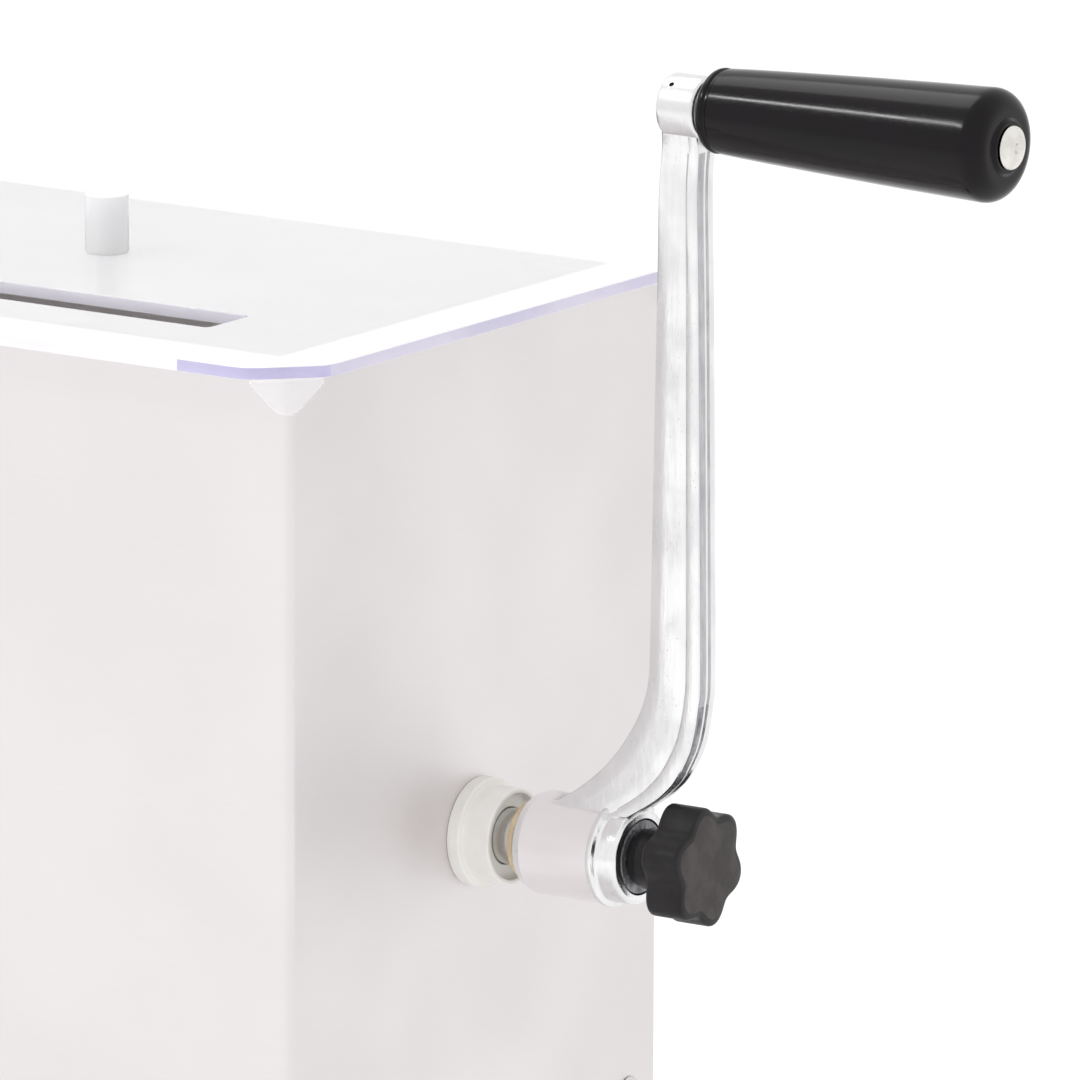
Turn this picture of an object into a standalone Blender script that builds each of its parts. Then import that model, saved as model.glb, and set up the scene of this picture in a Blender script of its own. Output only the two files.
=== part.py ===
# Hand-cranked meat mixer: a sheet steel tank on four legs, a paddle shaft, a cast crank with a
# turning grip and a star-shaped clamping knob, and a loose clear lid with a pouring slot.
# Metres, +Z up. X runs along the paddle shaft towards the crank, Y across the tank.
# The origin is on the floor, under the middle of the whole machine.

import bpy
import bmesh
from math import atan2, cos, pi, radians, sin, sqrt, tan
from mathutils import Matrix, Vector

GAP = 0.0003  # left between pieces that touch
EDGE = 0.0006  # taken off a small turned edge
CHAMFER = 0.001
OVERCUT = 0.004  # how far a cutter runs on past what it cuts

# tank
TANK_LENGTH = 0.305
TANK_WIDTH = 0.208
RIM_ABOVE_SHAFT = 0.165
SKIRT_BELOW_SHAFT = 0.130
SHEET = 0.0012
CORNER_BEND = 0.003
HEM_WIDTH = 0.012

# legs and feet
LEG_FLANGE = 0.025
LEG_THICK = 0.002
LEG_TROUGH_CLEARANCE = 0.0109
FOOT_RADIUS = 0.013
FOOT_HEIGHT = 0.012
FOOT_SEAT_DEPTH = 0.006
FOOT_SCREW_RADIUS = 0.0025
FOOT_SCREW_HEAD = 0.0046
FOOT_SCREW_HEAD_THICK = 0.003
FOOT_SCREW_PROUD = 0.004
FOOT_FLARE = 0.0015
RIVET_RADIUS = 0.0024
RIVET_HEAD = 0.0048
RIVET_HEAD_THICK = 0.0016
RIVET_TAIL_FLARE = 0.001
RIVET_TAIL_LENGTH = 0.0015
RIVET_INSET = 0.015
RIVET_RISE = 0.013

# shaft and its bushes
SHAFT_RADIUS = 0.009
BUSH_PROUD = 0.0145
BUSH_RIM = 0.0016
BUSH_FLANGE_PROUD = 0.0021
BUSH_FLANGE_THICK = 0.004
BUSH_WALL = 0.0032
BUSH_TAIL = 0.003
BUSH_RECESS_WIDTH = 0.0015
BUSH_RECESS_DEPTH = 0.002
LOCK_RING_WIDTH = 0.0045
LOCK_RING_THICK = 0.006
COLLAR_WALL = 0.006
COLLAR_LENGTH = 0.010
FAR_STUB = 0.003
FAR_STUB_CHAMFER = 0.0008
STUD_HOLE_SPARE = 0.002
SET_SCREW_RADIUS = 0.003
SET_SCREW_SUNK = 0.0004
SET_SCREW_SOCKET_DEPTH = 0.002

# paddles
PADDLE_COUNT = 6
PADDLE_STEP = radians(60)
PADDLE_CLEARANCE = 0.0043
PADDLE_END_CLEARANCE = 0.0062
PADDLE_ROD_RADIUS = 0.004
BLADE_LENGTH = 0.062
BLADE_WIDTH = 0.040
BLADE_THICK = 0.003
BLADE_CORNER = 0.009
BLADE_PITCH = radians(30)
PADDLE_COLLAR_RADIUS = 0.0065
PADDLE_COLLAR_THICK = 0.003
PADDLE_NUT_RADIUS = 0.0075
PADDLE_NUT_THICK = 0.005
PADDLE_THREAD_PROUD = 0.002
PADDLE_ROD_TAPER = 0.003
PADDLE_ROD_SHARE = 0.45  # of the blade's length, where the rod ends

# crank
CRANK_RADIUS = 0.2437
CRANK_FLOOR_CLEARANCE = 0.013
JOURNAL_STEP = 0.002
JOURNAL_FLAT_DEPTH = 0.0014
JOURNAL_SHORT = 0.0013  # lets the knob's washer press on the hub before the shaft
SHOULDER_PROUD = 0.0047
THRUST_WASHER_WIDTH = 0.0035  # beyond the shaft's shoulder
THRUST_WASHER_THICK = 0.0022
HUB_LENGTH = 0.0412
HUB_INNER_WIDTH = 0.001  # beyond the thrust washer
HUB_FLARE = 0.0032
HUB_CHAMFER_LENGTH = 0.005
HUB_CHAMFER_KNEE = 0.35
HUB_CHAMFER_DROP = 0.0012
HUB_END_ROUND = 0.0018
HUB_END_STEP = 0.0030
HUB_GROOVE_AT = 0.0310
HUB_GROOVE_WIDTH = 0.0012
HUB_GROOVE_DEPTH = 0.0007
HUB_END_DROP = 0.0012
HUB_LIP = 0.0031
HUB_RECESS_DEPTH = 0.0024
ARM_WIDTH = 0.0102
ARM_EDGE = 0.0016
ARM_ROOT_RISE = radians(32)
KNOB_ARM_CLEARANCE = 0.0028
ARM_REACH = 0.0482
ARM_DEPTH_LOW = 0.0192
ARM_DEPTH_HIGH = 0.0140
ARM_LEAN = 0.0028
ARM_INNER_BEND = 0.065
ARM_OUTER_BEND = 0.030
ARM_GROOVE_WIDTH = 0.0042
ARM_GROOVE_DEPTH = 0.0012
ARM_GROOVE_FROM = 0.062
ARM_GROOVE_SHORT = 0.0114  # left plain between the groove and the eye
ARM_ROOT_INSET = 0.006  # where the arm's two edges leave the hub, in from its ends
ARM_ROOT_SHARE = 0.66
ARM_UNDER_INSET = 0.0022
ARM_UNDER_SHARE = 0.94
ARM_SUNK = 0.006  # how far the arm's outline runs on inside the hub
ARM_FLOOR = 0.003
EYE_WALL = 0.006
EYE_LENGTH = 0.0145
EYE_EDGE = 0.0012

# grip
GRIP_LENGTH = 0.109
GRIP_INNER_RADIUS = 0.0134
GRIP_OUTER_RADIUS = 0.0183
GRIP_PIN_RADIUS = 0.004
GRIP_PIN_HEAD_WIDTH = 0.003
GRIP_PIN_HEAD_THICK = 0.0023
GRIP_PIN_TAIL_WIDTH = 0.0022
GRIP_PIN_TAIL_THICK = 0.0014
GRIP_WASHER_WIDTH = 0.005
GRIP_WASHER_THICK = 0.0015
GRIP_ROUND_OUT = 0.0062
GRIP_ROUND_IN = 0.0022
GRIP_SEAT_SUNK = 0.0012
GRIP_RING_AT = 0.0035
GRIP_RING_DEPTH = 0.0005
GRIP_RING_HALF = 0.0003
GRIP_RING_SLOPE = 0.0005

# clamping knob
STUD_WALL = 0.0016
STUD_IN_SHAFT = 0.023
KNOB_CAP = 0.006  # solid knob left beyond its stud
HUB_WASHER_THICK = 0.0021
KNOB_NECK_CLEARANCE = 0.0024
KNOB_NECK_LENGTH = 0.0117
KNOB_HEAD_RADIUS = 0.020
KNOB_VALLEY_RADIUS = 0.0166
KNOB_HEAD_THICK = 0.0138
KNOB_LOBES = 6
KNOB_EDGE = 0.0013
KNOB_STEP_AT = 0.0026
KNOB_STEP_DEPTH = 0.0009
KNOB_HOLE_SPARE = 0.001
KNOB_NECK_SUNK = 0.004
KNOB_TURN = radians(41)

# lid
LID_THICK = 0.004
LID_OVERHANG_X = 0.0105
LID_OVERHANG_Y = 0.0125
LID_CORNER_BLEND = 0.012
SLOT_LENGTH = 0.195
SLOT_WIDTH = 0.023
SLOT_FROM_FRONT = 0.0568
SLOT_CORNER = 0.002
LID_KNOB_Y = 0.010
LID_KNOB_RADIUS = 0.0071
LID_KNOB_HEIGHT = 0.0193
LID_SCREW_RADIUS = 0.003
LID_SCREW_HEAD_RADIUS = 0.0055
LID_SCREW_HEAD_THICK = 0.003
LID_KNOB_CAP = 0.006
LID_SCREW_HEAD_SLOPE = 0.0018
LID_KNOB_EDGE = 0.0008
LID_KNOB_FOOT_EDGE = 0.0004
LID_KNOB_HOLE_SPARE = 0.0008
TAB_THICK = 0.003
TAB_DEPTH = 0.0115
TAB_TIP_RADIUS = 0.0063
TAB_CLEARANCE = 0.00107
TAB_END_RADIUS = 0.001

# sizes that follow from the ones above
BUSH_NECK_RADIUS = SHAFT_RADIUS + GAP + BUSH_WALL
BUSH_RECESS_RADIUS = BUSH_NECK_RADIUS + BUSH_RECESS_WIDTH
BUSH_RADIUS = BUSH_RECESS_RADIUS + BUSH_RIM
BUSH_FLANGE_RADIUS = BUSH_RADIUS + BUSH_FLANGE_PROUD
BUSH_INNER_LENGTH = SHEET + GAP + LOCK_RING_THICK + BUSH_TAIL
LOCK_RING_RADIUS = BUSH_NECK_RADIUS + LOCK_RING_WIDTH
COLLAR_RADIUS = SHAFT_RADIUS + COLLAR_WALL
JOURNAL_RADIUS = SHAFT_RADIUS - JOURNAL_STEP
JOURNAL_FLAT = JOURNAL_RADIUS - JOURNAL_FLAT_DEPTH
STUD_RADIUS = JOURNAL_FLAT - STUD_WALL
THRUST_WASHER_RADIUS = SHAFT_RADIUS + THRUST_WASHER_WIDTH
HUB_INNER_RADIUS = THRUST_WASHER_RADIUS + HUB_INNER_WIDTH
HUB_RADIUS = HUB_INNER_RADIUS + HUB_FLARE
HUB_END_RADIUS = HUB_RADIUS - HUB_END_DROP
HUB_RECESS_RADIUS = HUB_END_RADIUS - HUB_LIP
KNOB_NECK_RADIUS = HUB_RECESS_RADIUS - KNOB_NECK_CLEARANCE
STUD_IN_KNOB = KNOB_NECK_LENGTH + KNOB_HEAD_THICK - KNOB_CAP
EYE_RADIUS = GRIP_PIN_RADIUS + GAP + EYE_WALL
GRIP_PIN_HEAD_RADIUS = GRIP_PIN_RADIUS + GRIP_PIN_HEAD_WIDTH
GRIP_PIN_TAIL_RADIUS = GRIP_PIN_RADIUS + GRIP_PIN_TAIL_WIDTH
GRIP_WASHER_RADIUS = GRIP_PIN_RADIUS + GRIP_WASHER_WIDTH
PADDLE_END_MARGIN = BUSH_INNER_LENGTH + BLADE_WIDTH / 2 * cos(BLADE_PITCH) + PADDLE_END_CLEARANCE
LID_SCREW_REACH = LID_KNOB_HEIGHT - LID_KNOB_CAP - LID_KNOB_HOLE_SPARE
TAB_FROM_CORNER = TAB_THICK + TAB_CLEARANCE - CORNER_BEND * (sqrt(2) - 1)
LID_CORNER_CUT = LID_OVERHANG_X + LID_OVERHANG_Y - sqrt(2) * TAB_FROM_CORNER

# heights
SHAFT_Z = CRANK_RADIUS + GRIP_OUTER_RADIUS + CRANK_FLOOR_CLEARANCE
RIM_Z = SHAFT_Z + RIM_ABOVE_SHAFT
SKIRT_Z = SHAFT_Z - SKIRT_BELOW_SHAFT
LID_Z = RIM_Z + GAP
LEG_FOOT_Z = FOOT_HEIGHT + GAP

# places along the shaft, measured outwards from the tank's crank-end face
SHOULDER = BUSH_PROUD + SHOULDER_PROUD
HUB_START = SHOULDER + GAP + THRUST_WASHER_THICK + GAP
HUB_END = HUB_START + HUB_LENGTH
HUB_SEAT = HUB_END - HUB_RECESS_DEPTH
JOURNAL_END = HUB_SEAT - JOURNAL_SHORT
NECK_START = HUB_SEAT + GAP + HUB_WASHER_THICK + GAP
HEAD_START = NECK_START + KNOB_NECK_LENGTH
ARM_BACK_LOW = HUB_START + ARM_REACH
ARM_BACK_HIGH = ARM_BACK_LOW + ARM_LEAN
EYE_END = ARM_BACK_HIGH + EYE_LENGTH
GRIP_START = EYE_END + GAP + GRIP_WASHER_THICK + GAP
GRIP_END = GRIP_START + GRIP_LENGTH
PIN_TOP = GRIP_END + GAP + GRIP_PIN_HEAD_THICK
COLLAR_START = BUSH_PROUD + GAP
FAR_END = COLLAR_START + COLLAR_LENGTH + FAR_STUB

FACE_X = (TANK_LENGTH + FAR_END - PIN_TOP) / 2
FAR_FACE_X = FACE_X - TANK_LENGTH
TANK_X = FACE_X - TANK_LENGTH / 2
INSIDE_HALF = TANK_WIDTH / 2 - SHEET
TROUGH_RADIUS = INSIDE_HALF - GAP
TROUGH_OVER_LEG = sqrt(TROUGH_RADIUS ** 2 - (TROUGH_RADIUS - LEG_FLANGE) ** 2)
LEG_TOP_Z = SHAFT_Z - TROUGH_OVER_LEG - LEG_TROUGH_CLEARANCE
PADDLE_REACH = TROUGH_RADIUS - SHEET - PADDLE_CLEARANCE
ARM_GROOVE_TO = CRANK_RADIUS - EYE_RADIUS - ARM_GROOVE_SHORT
LID_LENGTH = TANK_LENGTH + 2 * LID_OVERHANG_X
LID_WIDTH = TANK_WIDTH + 2 * LID_OVERHANG_Y
SLOT_Y = -LID_WIDTH / 2 + SLOT_FROM_FRONT

OUTWARDS = (0, pi / 2, 0)  # turns an object's own +Z towards the crank
FAR_OUTWARDS = (0, -pi / 2, 0)

for old in list(bpy.data.objects):
    bpy.data.objects.remove(old, do_unlink=True)

PARTS = bpy.data.collections.new("hand_meat_mixer")
CUTTERS = bpy.data.collections.new("cutters")
bpy.context.scene.collection.children.link(PARTS)
bpy.context.scene.collection.children.link(CUTTERS)


def principled(name, color, roughness, metallic=0.0, transmission=0.0):
    material = bpy.data.materials.new(name)
    material.use_nodes = True
    shader = material.node_tree.nodes["Principled BSDF"]
    shader.inputs["Base Color"].default_value = (*color, 1)
    shader.inputs["Roughness"].default_value = roughness
    shader.inputs["Metallic"].default_value = metallic
    shader.inputs["Transmission Weight"].default_value = transmission
    return material


def satin_steel(name):
    return principled(name, (0.80, 0.79, 0.78), 0.34, 1.0)


def bright_steel(name):
    return principled(name, (0.72, 0.72, 0.71), 0.22, 1.0)


def cast_metal(name):
    return principled(name, (0.86, 0.86, 0.87), 0.25, 1.0)


def black_plastic(name):
    return principled(name, (0.018, 0.017, 0.018), 0.32)


def clear_plastic(name):
    return principled(name, (0.93, 0.92, 0.97), 0.05, 0.0, 0.95)


def white_plastic(name):
    return principled(name, (0.80, 0.78, 0.74), 0.42)


def black_rubber(name):
    return principled(name, (0.03, 0.03, 0.03), 0.75)


# ---- ways of making a piece ----

def place(name, mesh, material=None, location=(0, 0, 0), rotation=(0, 0, 0)):
    """Links a mesh as a named part, or as a hidden cutter when it has no material."""
    piece = bpy.data.objects.new(name, mesh)
    piece.location = location
    piece.rotation_euler = rotation
    if material is None:
        CUTTERS.objects.link(piece)
        piece.hide_render = True
        piece.display_type = "WIRE"
    else:
        PARTS.objects.link(piece)
        mesh.materials.append(material(name))
    return piece


def turned(name, profile, material=None, location=(0, 0, 0), rotation=(0, 0, 0), steps=32, ring=False):
    """Turns (height, radius) points round the object's own Z, listed from the top down the outside."""
    mesh = bpy.data.meshes.new(name)
    edges = [(i, i + 1) for i in range(len(profile) - 1)]
    if ring:
        edges.append((len(profile) - 1, 0))
    mesh.from_pydata([(radius, 0, height) for height, radius in profile], edges, [])
    piece = place(name, mesh, material, location, rotation)
    screw = piece.modifiers.new("turn", "SCREW")
    screw.steps = steps
    screw.render_steps = steps
    screw.use_merge_vertices = True
    screw.merge_threshold = 0.00001
    screw.use_smooth_shade = True
    return piece


def flat(name, outlines, thickness, material=None, location=(0, 0, 0), rotation=(0, 0, 0)):
    """Fills closed outlines in the object's own XY plane and thickens them to both sides."""
    curve = bpy.data.curves.new(name, "CURVE")
    curve.dimensions = "2D"
    curve.fill_mode = "BOTH"
    curve.extrude = thickness / 2
    for outline in outlines:
        spline = curve.splines.new("POLY")
        spline.points.add(len(outline) - 1)
        spline.use_cyclic_u = True
        for point, (x, y) in zip(spline.points, outline):
            point.co = (x, y, 0, 1)
    guide = bpy.data.objects.new(name + "_outline", curve)
    CUTTERS.objects.link(guide)
    bpy.context.view_layer.update()
    evaluated = guide.evaluated_get(bpy.context.evaluated_depsgraph_get())
    mesh = bpy.data.meshes.new_from_object(evaluated)
    bpy.data.objects.remove(guide, do_unlink=True)
    mesh.materials.clear()
    form = bmesh.new()
    form.from_mesh(mesh)
    bmesh.ops.remove_doubles(form, verts=form.verts, dist=0.00001)
    bmesh.ops.recalc_face_normals(form, faces=form.faces)
    form.to_mesh(mesh)
    form.free()
    mesh.name = name
    return place(name, mesh, material, location, rotation)


def box(name, size, material=None, location=(0, 0, 0), rotation=(0, 0, 0)):
    mesh = bpy.data.meshes.new(name)
    form = bmesh.new()
    bmesh.ops.create_cube(form, size=1, matrix=Matrix.Diagonal((*size, 1)))
    form.to_mesh(mesh)
    form.free()
    return place(name, mesh, material, location, rotation)


def rod(name, radius, low, high, location=(0, 0, 0), rotation=(0, 0, 0), steps=24):
    """A plain cylinder along the object's own Z, used as a cutter."""
    profile = [(high, 0), (high, radius), (low, radius), (low, 0)]
    return turned(name, profile, None, location, rotation, steps)


def boolean(piece, tool, operation):
    modifier = piece.modifiers.new(tool.name, "BOOLEAN")
    modifier.operation = operation
    modifier.object = tool


def cut(piece, tool):
    boolean(piece, tool, "DIFFERENCE")


def join(piece, tool):
    boolean(piece, tool, "UNION")


def soften(piece, width, segments=2, angle=radians(40)):
    bevel = piece.modifiers.new("edges", "BEVEL")
    bevel.width = width
    bevel.segments = segments
    bevel.limit_method = "ANGLE"
    bevel.angle_limit = angle


def rounded(corners, steps=4):
    """Replaces each (x, y, radius) corner by an arc, and leaves the ones with no radius sharp."""
    outline = []
    for index, (x, y, radius) in enumerate(corners):
        corner = Vector((x, y))
        if radius == 0:
            outline.append((x, y))
            continue
        before = (Vector(corners[index - 1][:2]) - corner).normalized()
        after = (Vector(corners[(index + 1) % len(corners)][:2]) - corner).normalized()
        half = before.angle(after) / 2
        centre = corner + (before + after).normalized() * (radius / sin(half))
        start = corner + before * (radius / tan(half)) - centre
        end = corner + after * (radius / tan(half)) - centre
        sweep = atan2(start.x * end.y - start.y * end.x, start.dot(end))
        for step in range(steps + 1):
            spot = centre + Matrix.Rotation(sweep * step / steps, 2) @ start
            outline.append((spot.x, spot.y))
    return outline


def circle(radius, steps=24, centre=(0, 0)):
    turns = [2 * pi * step / steps for step in range(steps)]
    return [(centre[0] + radius * cos(turn), centre[1] + radius * sin(turn)) for turn in turns]


def hang_on(axis, pieces):
    """Parents pieces to the empty on their joint's axis without moving them."""
    for piece in pieces:
        piece.parent = axis
        piece.matrix_parent_inverse = Matrix.Translation(-axis.location)


def axis_empty(name, location):
    empty = bpy.data.objects.new(name, None)
    empty.location = location
    empty.empty_display_size = 0.03
    PARTS.objects.link(empty)
    return empty


def on_shaft(outwards):
    """A point on the shaft's axis, given its distance outwards from the crank-end face."""
    return (FACE_X + outwards, 0, SHAFT_Z)


# ---- tank ----

def make_tank():
    """Four walls folded from one sheet, with rounded corners and a hem turned inwards at the rim."""
    mesh = bpy.data.meshes.new("tank_shell")
    form = bmesh.new()
    height = RIM_Z - SKIRT_Z
    bmesh.ops.create_cube(form, size=1, matrix=Matrix.Diagonal((TANK_LENGTH, TANK_WIDTH, height, 1)))
    flat_ends = [face for face in form.faces if abs(face.normal.z) > 0.5]
    bmesh.ops.delete(form, geom=flat_ends, context="FACES_ONLY")
    uprights = [edge for edge in form.edges if abs(edge.verts[0].co.z - edge.verts[1].co.z) > height / 2]
    bmesh.ops.bevel(form, geom=uprights, offset=CORNER_BEND, offset_type="OFFSET", segments=3,
                    profile=0.5, affect="EDGES")
    rim = [edge for edge in form.edges if all(vert.co.z > height / 2 - 0.0001 for vert in edge.verts)]
    lip = bmesh.ops.extrude_edge_only(form, edges=rim)
    for vert in [item for item in lip["geom"] if isinstance(item, bmesh.types.BMVert)]:
        vert.co.x -= HEM_WIDTH if vert.co.x > 0 else -HEM_WIDTH
        vert.co.y -= HEM_WIDTH if vert.co.y > 0 else -HEM_WIDTH
    bmesh.ops.recalc_face_normals(form, faces=form.faces)
    if sum(face.normal.dot(face.calc_center_median()) for face in form.faces) < 0:
        bmesh.ops.reverse_faces(form, faces=form.faces)
    form.to_mesh(mesh)
    form.free()
    tank = place("tank_shell", mesh, satin_steel, (TANK_X, 0, SKIRT_Z + height / 2))
    wall = tank.modifiers.new("sheet", "SOLIDIFY")
    wall.thickness = SHEET
    wall.offset = -1
    wall.use_even_offset = True
    hole = BUSH_NECK_RADIUS + GAP
    for side, x in (("crank", FACE_X), ("far", FAR_FACE_X)):
        cut(tank, rod(side + "_bush_hole", hole, -OVERCUT, OVERCUT, (x, 0, SHAFT_Z), OUTWARDS, 28))
    return tank


def make_trough():
    """The rounded inner trough: two straight walls and a half circle round the shaft."""
    top = RIM_Z - SHEET - GAP - SHAFT_Z
    arc = [pi + pi * step / 20 for step in range(21)]
    path = [(-TROUGH_RADIUS, top)]
    path += [(TROUGH_RADIUS * cos(turn), TROUGH_RADIUS * sin(turn)) for turn in arc]
    path += [(TROUGH_RADIUS, top)]
    half = TANK_LENGTH / 2 - CORNER_BEND
    mesh = bpy.data.meshes.new("trough_liner")
    form = bmesh.new()
    spine = [form.verts.new((-half, y, z)) for y, z in path]
    line = [form.edges.new(pair) for pair in zip(spine, spine[1:])]
    grown = bmesh.ops.extrude_edge_only(form, edges=line)
    moved = [item for item in grown["geom"] if isinstance(item, bmesh.types.BMVert)]
    bmesh.ops.translate(form, verts=moved, vec=(2 * half, 0, 0))
    form.faces.ensure_lookup_table()
    bottom = min(form.faces, key=lambda face: face.calc_center_median().z)
    if bottom.normal.z > 0:
        bmesh.ops.reverse_faces(form, faces=form.faces)
    form.to_mesh(mesh)
    form.free()
    trough = place("trough_liner", mesh, satin_steel, (TANK_X, 0, SHAFT_Z))
    wall = trough.modifiers.new("sheet", "SOLIDIFY")
    wall.thickness = SHEET
    wall.offset = -1
    wall.use_even_offset = True
    return trough


# ---- legs ----

def make_leg(number, side_x, side_y, tank):
    """A folded angle in a corner of the skirt, with a foot plate, a rubber foot and two rivets."""
    corner_x = TANK_X + side_x * (TANK_LENGTH / 2 - SHEET - GAP)
    corner_y = side_y * (TANK_WIDTH / 2 - SHEET - GAP)
    angle = rounded([(0, 0, CORNER_BEND - SHEET), (LEG_FLANGE, 0, 0), (LEG_FLANGE, LEG_THICK, 0),
                     (LEG_THICK, LEG_THICK, 0), (LEG_THICK, LEG_FLANGE, 0), (0, LEG_FLANGE, 0)])
    outline = [(corner_x - side_x * x, corner_y - side_y * y) for x, y in angle]
    height = LEG_TOP_Z - LEG_FOOT_Z
    leg = flat(f"leg_{number}", [outline], height, satin_steel, (0, 0, LEG_FOOT_Z + height / 2))
    inset = LEG_THICK / 4
    span = LEG_FLANGE - inset
    foot_x = corner_x - side_x * LEG_FLANGE / 2
    foot_y = corner_y - side_y * LEG_FLANGE / 2
    plate_x = corner_x - side_x * (inset + span / 2)
    plate_y = corner_y - side_y * (inset + span / 2)
    plate_z = LEG_FOOT_Z + LEG_THICK / 2
    join(leg, box(f"leg_{number}_plate", (span, span, LEG_THICK), None, (plate_x, plate_y, plate_z)))
    screw_hole = FOOT_SCREW_RADIUS + GAP
    cut(leg, rod(f"leg_{number}_hole", screw_hole, -OVERCUT, OVERCUT, (foot_x, foot_y, LEG_FOOT_Z), steps=10))

    spread = FOOT_RADIUS - FOOT_FLARE
    seat = FOOT_SCREW_HEAD + GAP
    turned(f"foot_{number}", [
        (FOOT_HEIGHT, screw_hole), (FOOT_HEIGHT, spread), (FOOT_FLARE, FOOT_RADIUS), (0, spread),
        (0, seat), (FOOT_SEAT_DEPTH, seat), (FOOT_SEAT_DEPTH, screw_hole),
    ], black_rubber, (foot_x, foot_y, 0), steps=16, ring=True)
    head_top = FOOT_SEAT_DEPTH - GAP
    head_low = head_top - FOOT_SCREW_HEAD_THICK
    shank_top = LEG_FOOT_Z + LEG_THICK + FOOT_SCREW_PROUD
    turned(f"foot_screw_{number}", [
        (shank_top, 0), (shank_top, FOOT_SCREW_RADIUS - EDGE), (shank_top - CHAMFER, FOOT_SCREW_RADIUS),
        (head_top, FOOT_SCREW_RADIUS), (head_top, FOOT_SCREW_HEAD), (head_low + CHAMFER, FOOT_SCREW_HEAD),
        (head_low, FOOT_SCREW_HEAD - CHAMFER), (head_low, 0),
    ], bright_steel, (foot_x, foot_y, 0), steps=10)

    rivet_z = SKIRT_Z + RIVET_RISE
    end_x = TANK_X + side_x * TANK_LENGTH / 2
    side_wall = side_y * TANK_WIDTH / 2
    end_spot = (end_x, corner_y - side_y * RIVET_INSET, rivet_z + RIVET_RISE)
    side_spot = (corner_x - side_x * RIVET_INSET, side_wall, rivet_z)
    make_rivet(2 * number - 1, end_spot, (0, side_x * pi / 2, 0), leg, tank)
    make_rivet(2 * number, side_spot, (-side_y * pi / 2, 0, 0), leg, tank)


def make_rivet(number, spot, rotation, leg, tank):
    """A blind rivet through the skirt and a leg, its own +Z pointing out of the tank."""
    grip = SHEET + GAP + LEG_THICK
    hole = rod(f"rivet_{number}_hole", RIVET_RADIUS + GAP, -grip - OVERCUT, OVERCUT, spot, rotation, 8)
    cut(tank, hole)
    cut(leg, hole)
    tail = -grip - GAP
    turned(f"rivet_{number}", [
        (GAP + RIVET_HEAD_THICK, 0), (GAP + RIVET_HEAD_THICK, RIVET_HEAD * 0.5),
        (GAP + RIVET_HEAD_THICK * 0.5, RIVET_HEAD * 0.9), (GAP, RIVET_HEAD), (GAP, RIVET_RADIUS),
        (tail, RIVET_RADIUS), (tail, RIVET_RADIUS + RIVET_TAIL_FLARE),
        (tail - RIVET_TAIL_LENGTH, RIVET_RADIUS + RIVET_TAIL_FLARE / 2), (tail - RIVET_TAIL_LENGTH, 0),
    ], bright_steel, spot, rotation, 8)


# ---- bearings ----

def make_bush(side, face_x, rotation):
    """A flanged plastic bush through the end wall and the ring that locks it from inside."""
    bore = SHAFT_RADIUS + GAP
    floor = BUSH_PROUD - BUSH_RECESS_DEPTH
    bush = turned(f"{side}_bush", [
        (BUSH_PROUD, BUSH_RECESS_RADIUS), (BUSH_PROUD, BUSH_RADIUS - EDGE),
        (BUSH_PROUD - EDGE, BUSH_RADIUS), (BUSH_FLANGE_THICK + GAP, BUSH_RADIUS),
        (BUSH_FLANGE_THICK + GAP, BUSH_FLANGE_RADIUS - EDGE),
        (BUSH_FLANGE_THICK + GAP - EDGE, BUSH_FLANGE_RADIUS),
        (GAP, BUSH_FLANGE_RADIUS), (GAP, BUSH_NECK_RADIUS), (-BUSH_INNER_LENGTH, BUSH_NECK_RADIUS),
        (-BUSH_INNER_LENGTH, bore), (floor, bore), (floor, BUSH_RECESS_RADIUS),
    ], white_plastic, (face_x, 0, SHAFT_Z), rotation, 28, ring=True)
    top = -SHEET - GAP
    low = top - LOCK_RING_THICK
    inner = BUSH_NECK_RADIUS + GAP
    ring = turned(f"{side}_bush_ring", [
        (top, inner), (top, LOCK_RING_RADIUS), (low + CHAMFER, LOCK_RING_RADIUS),
        (low, LOCK_RING_RADIUS - CHAMFER), (low, inner),
    ], white_plastic, (face_x, 0, SHAFT_Z), rotation, 20, ring=True)
    return bush, ring


# ---- shaft and paddles ----

def d_outline(radius, flat_height, steps=18):
    """A circle with a flat on its upper side."""
    start = atan2(flat_height, sqrt(radius ** 2 - flat_height ** 2))
    sweep = -pi - 2 * start
    turns = [start + sweep * step / steps for step in range(steps + 1)]
    return [(radius * cos(turn), radius * sin(turn)) for turn in turns]


def paddle_places():
    """Where each paddle sits along the shaft and how far it is turned about it."""
    first = -PADDLE_END_MARGIN
    pitch = (TANK_LENGTH - 2 * PADDLE_END_MARGIN) / (PADDLE_COUNT - 1)
    return [(first - pitch * index, PADDLE_STEP * index) for index in range(PADDLE_COUNT)]


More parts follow.
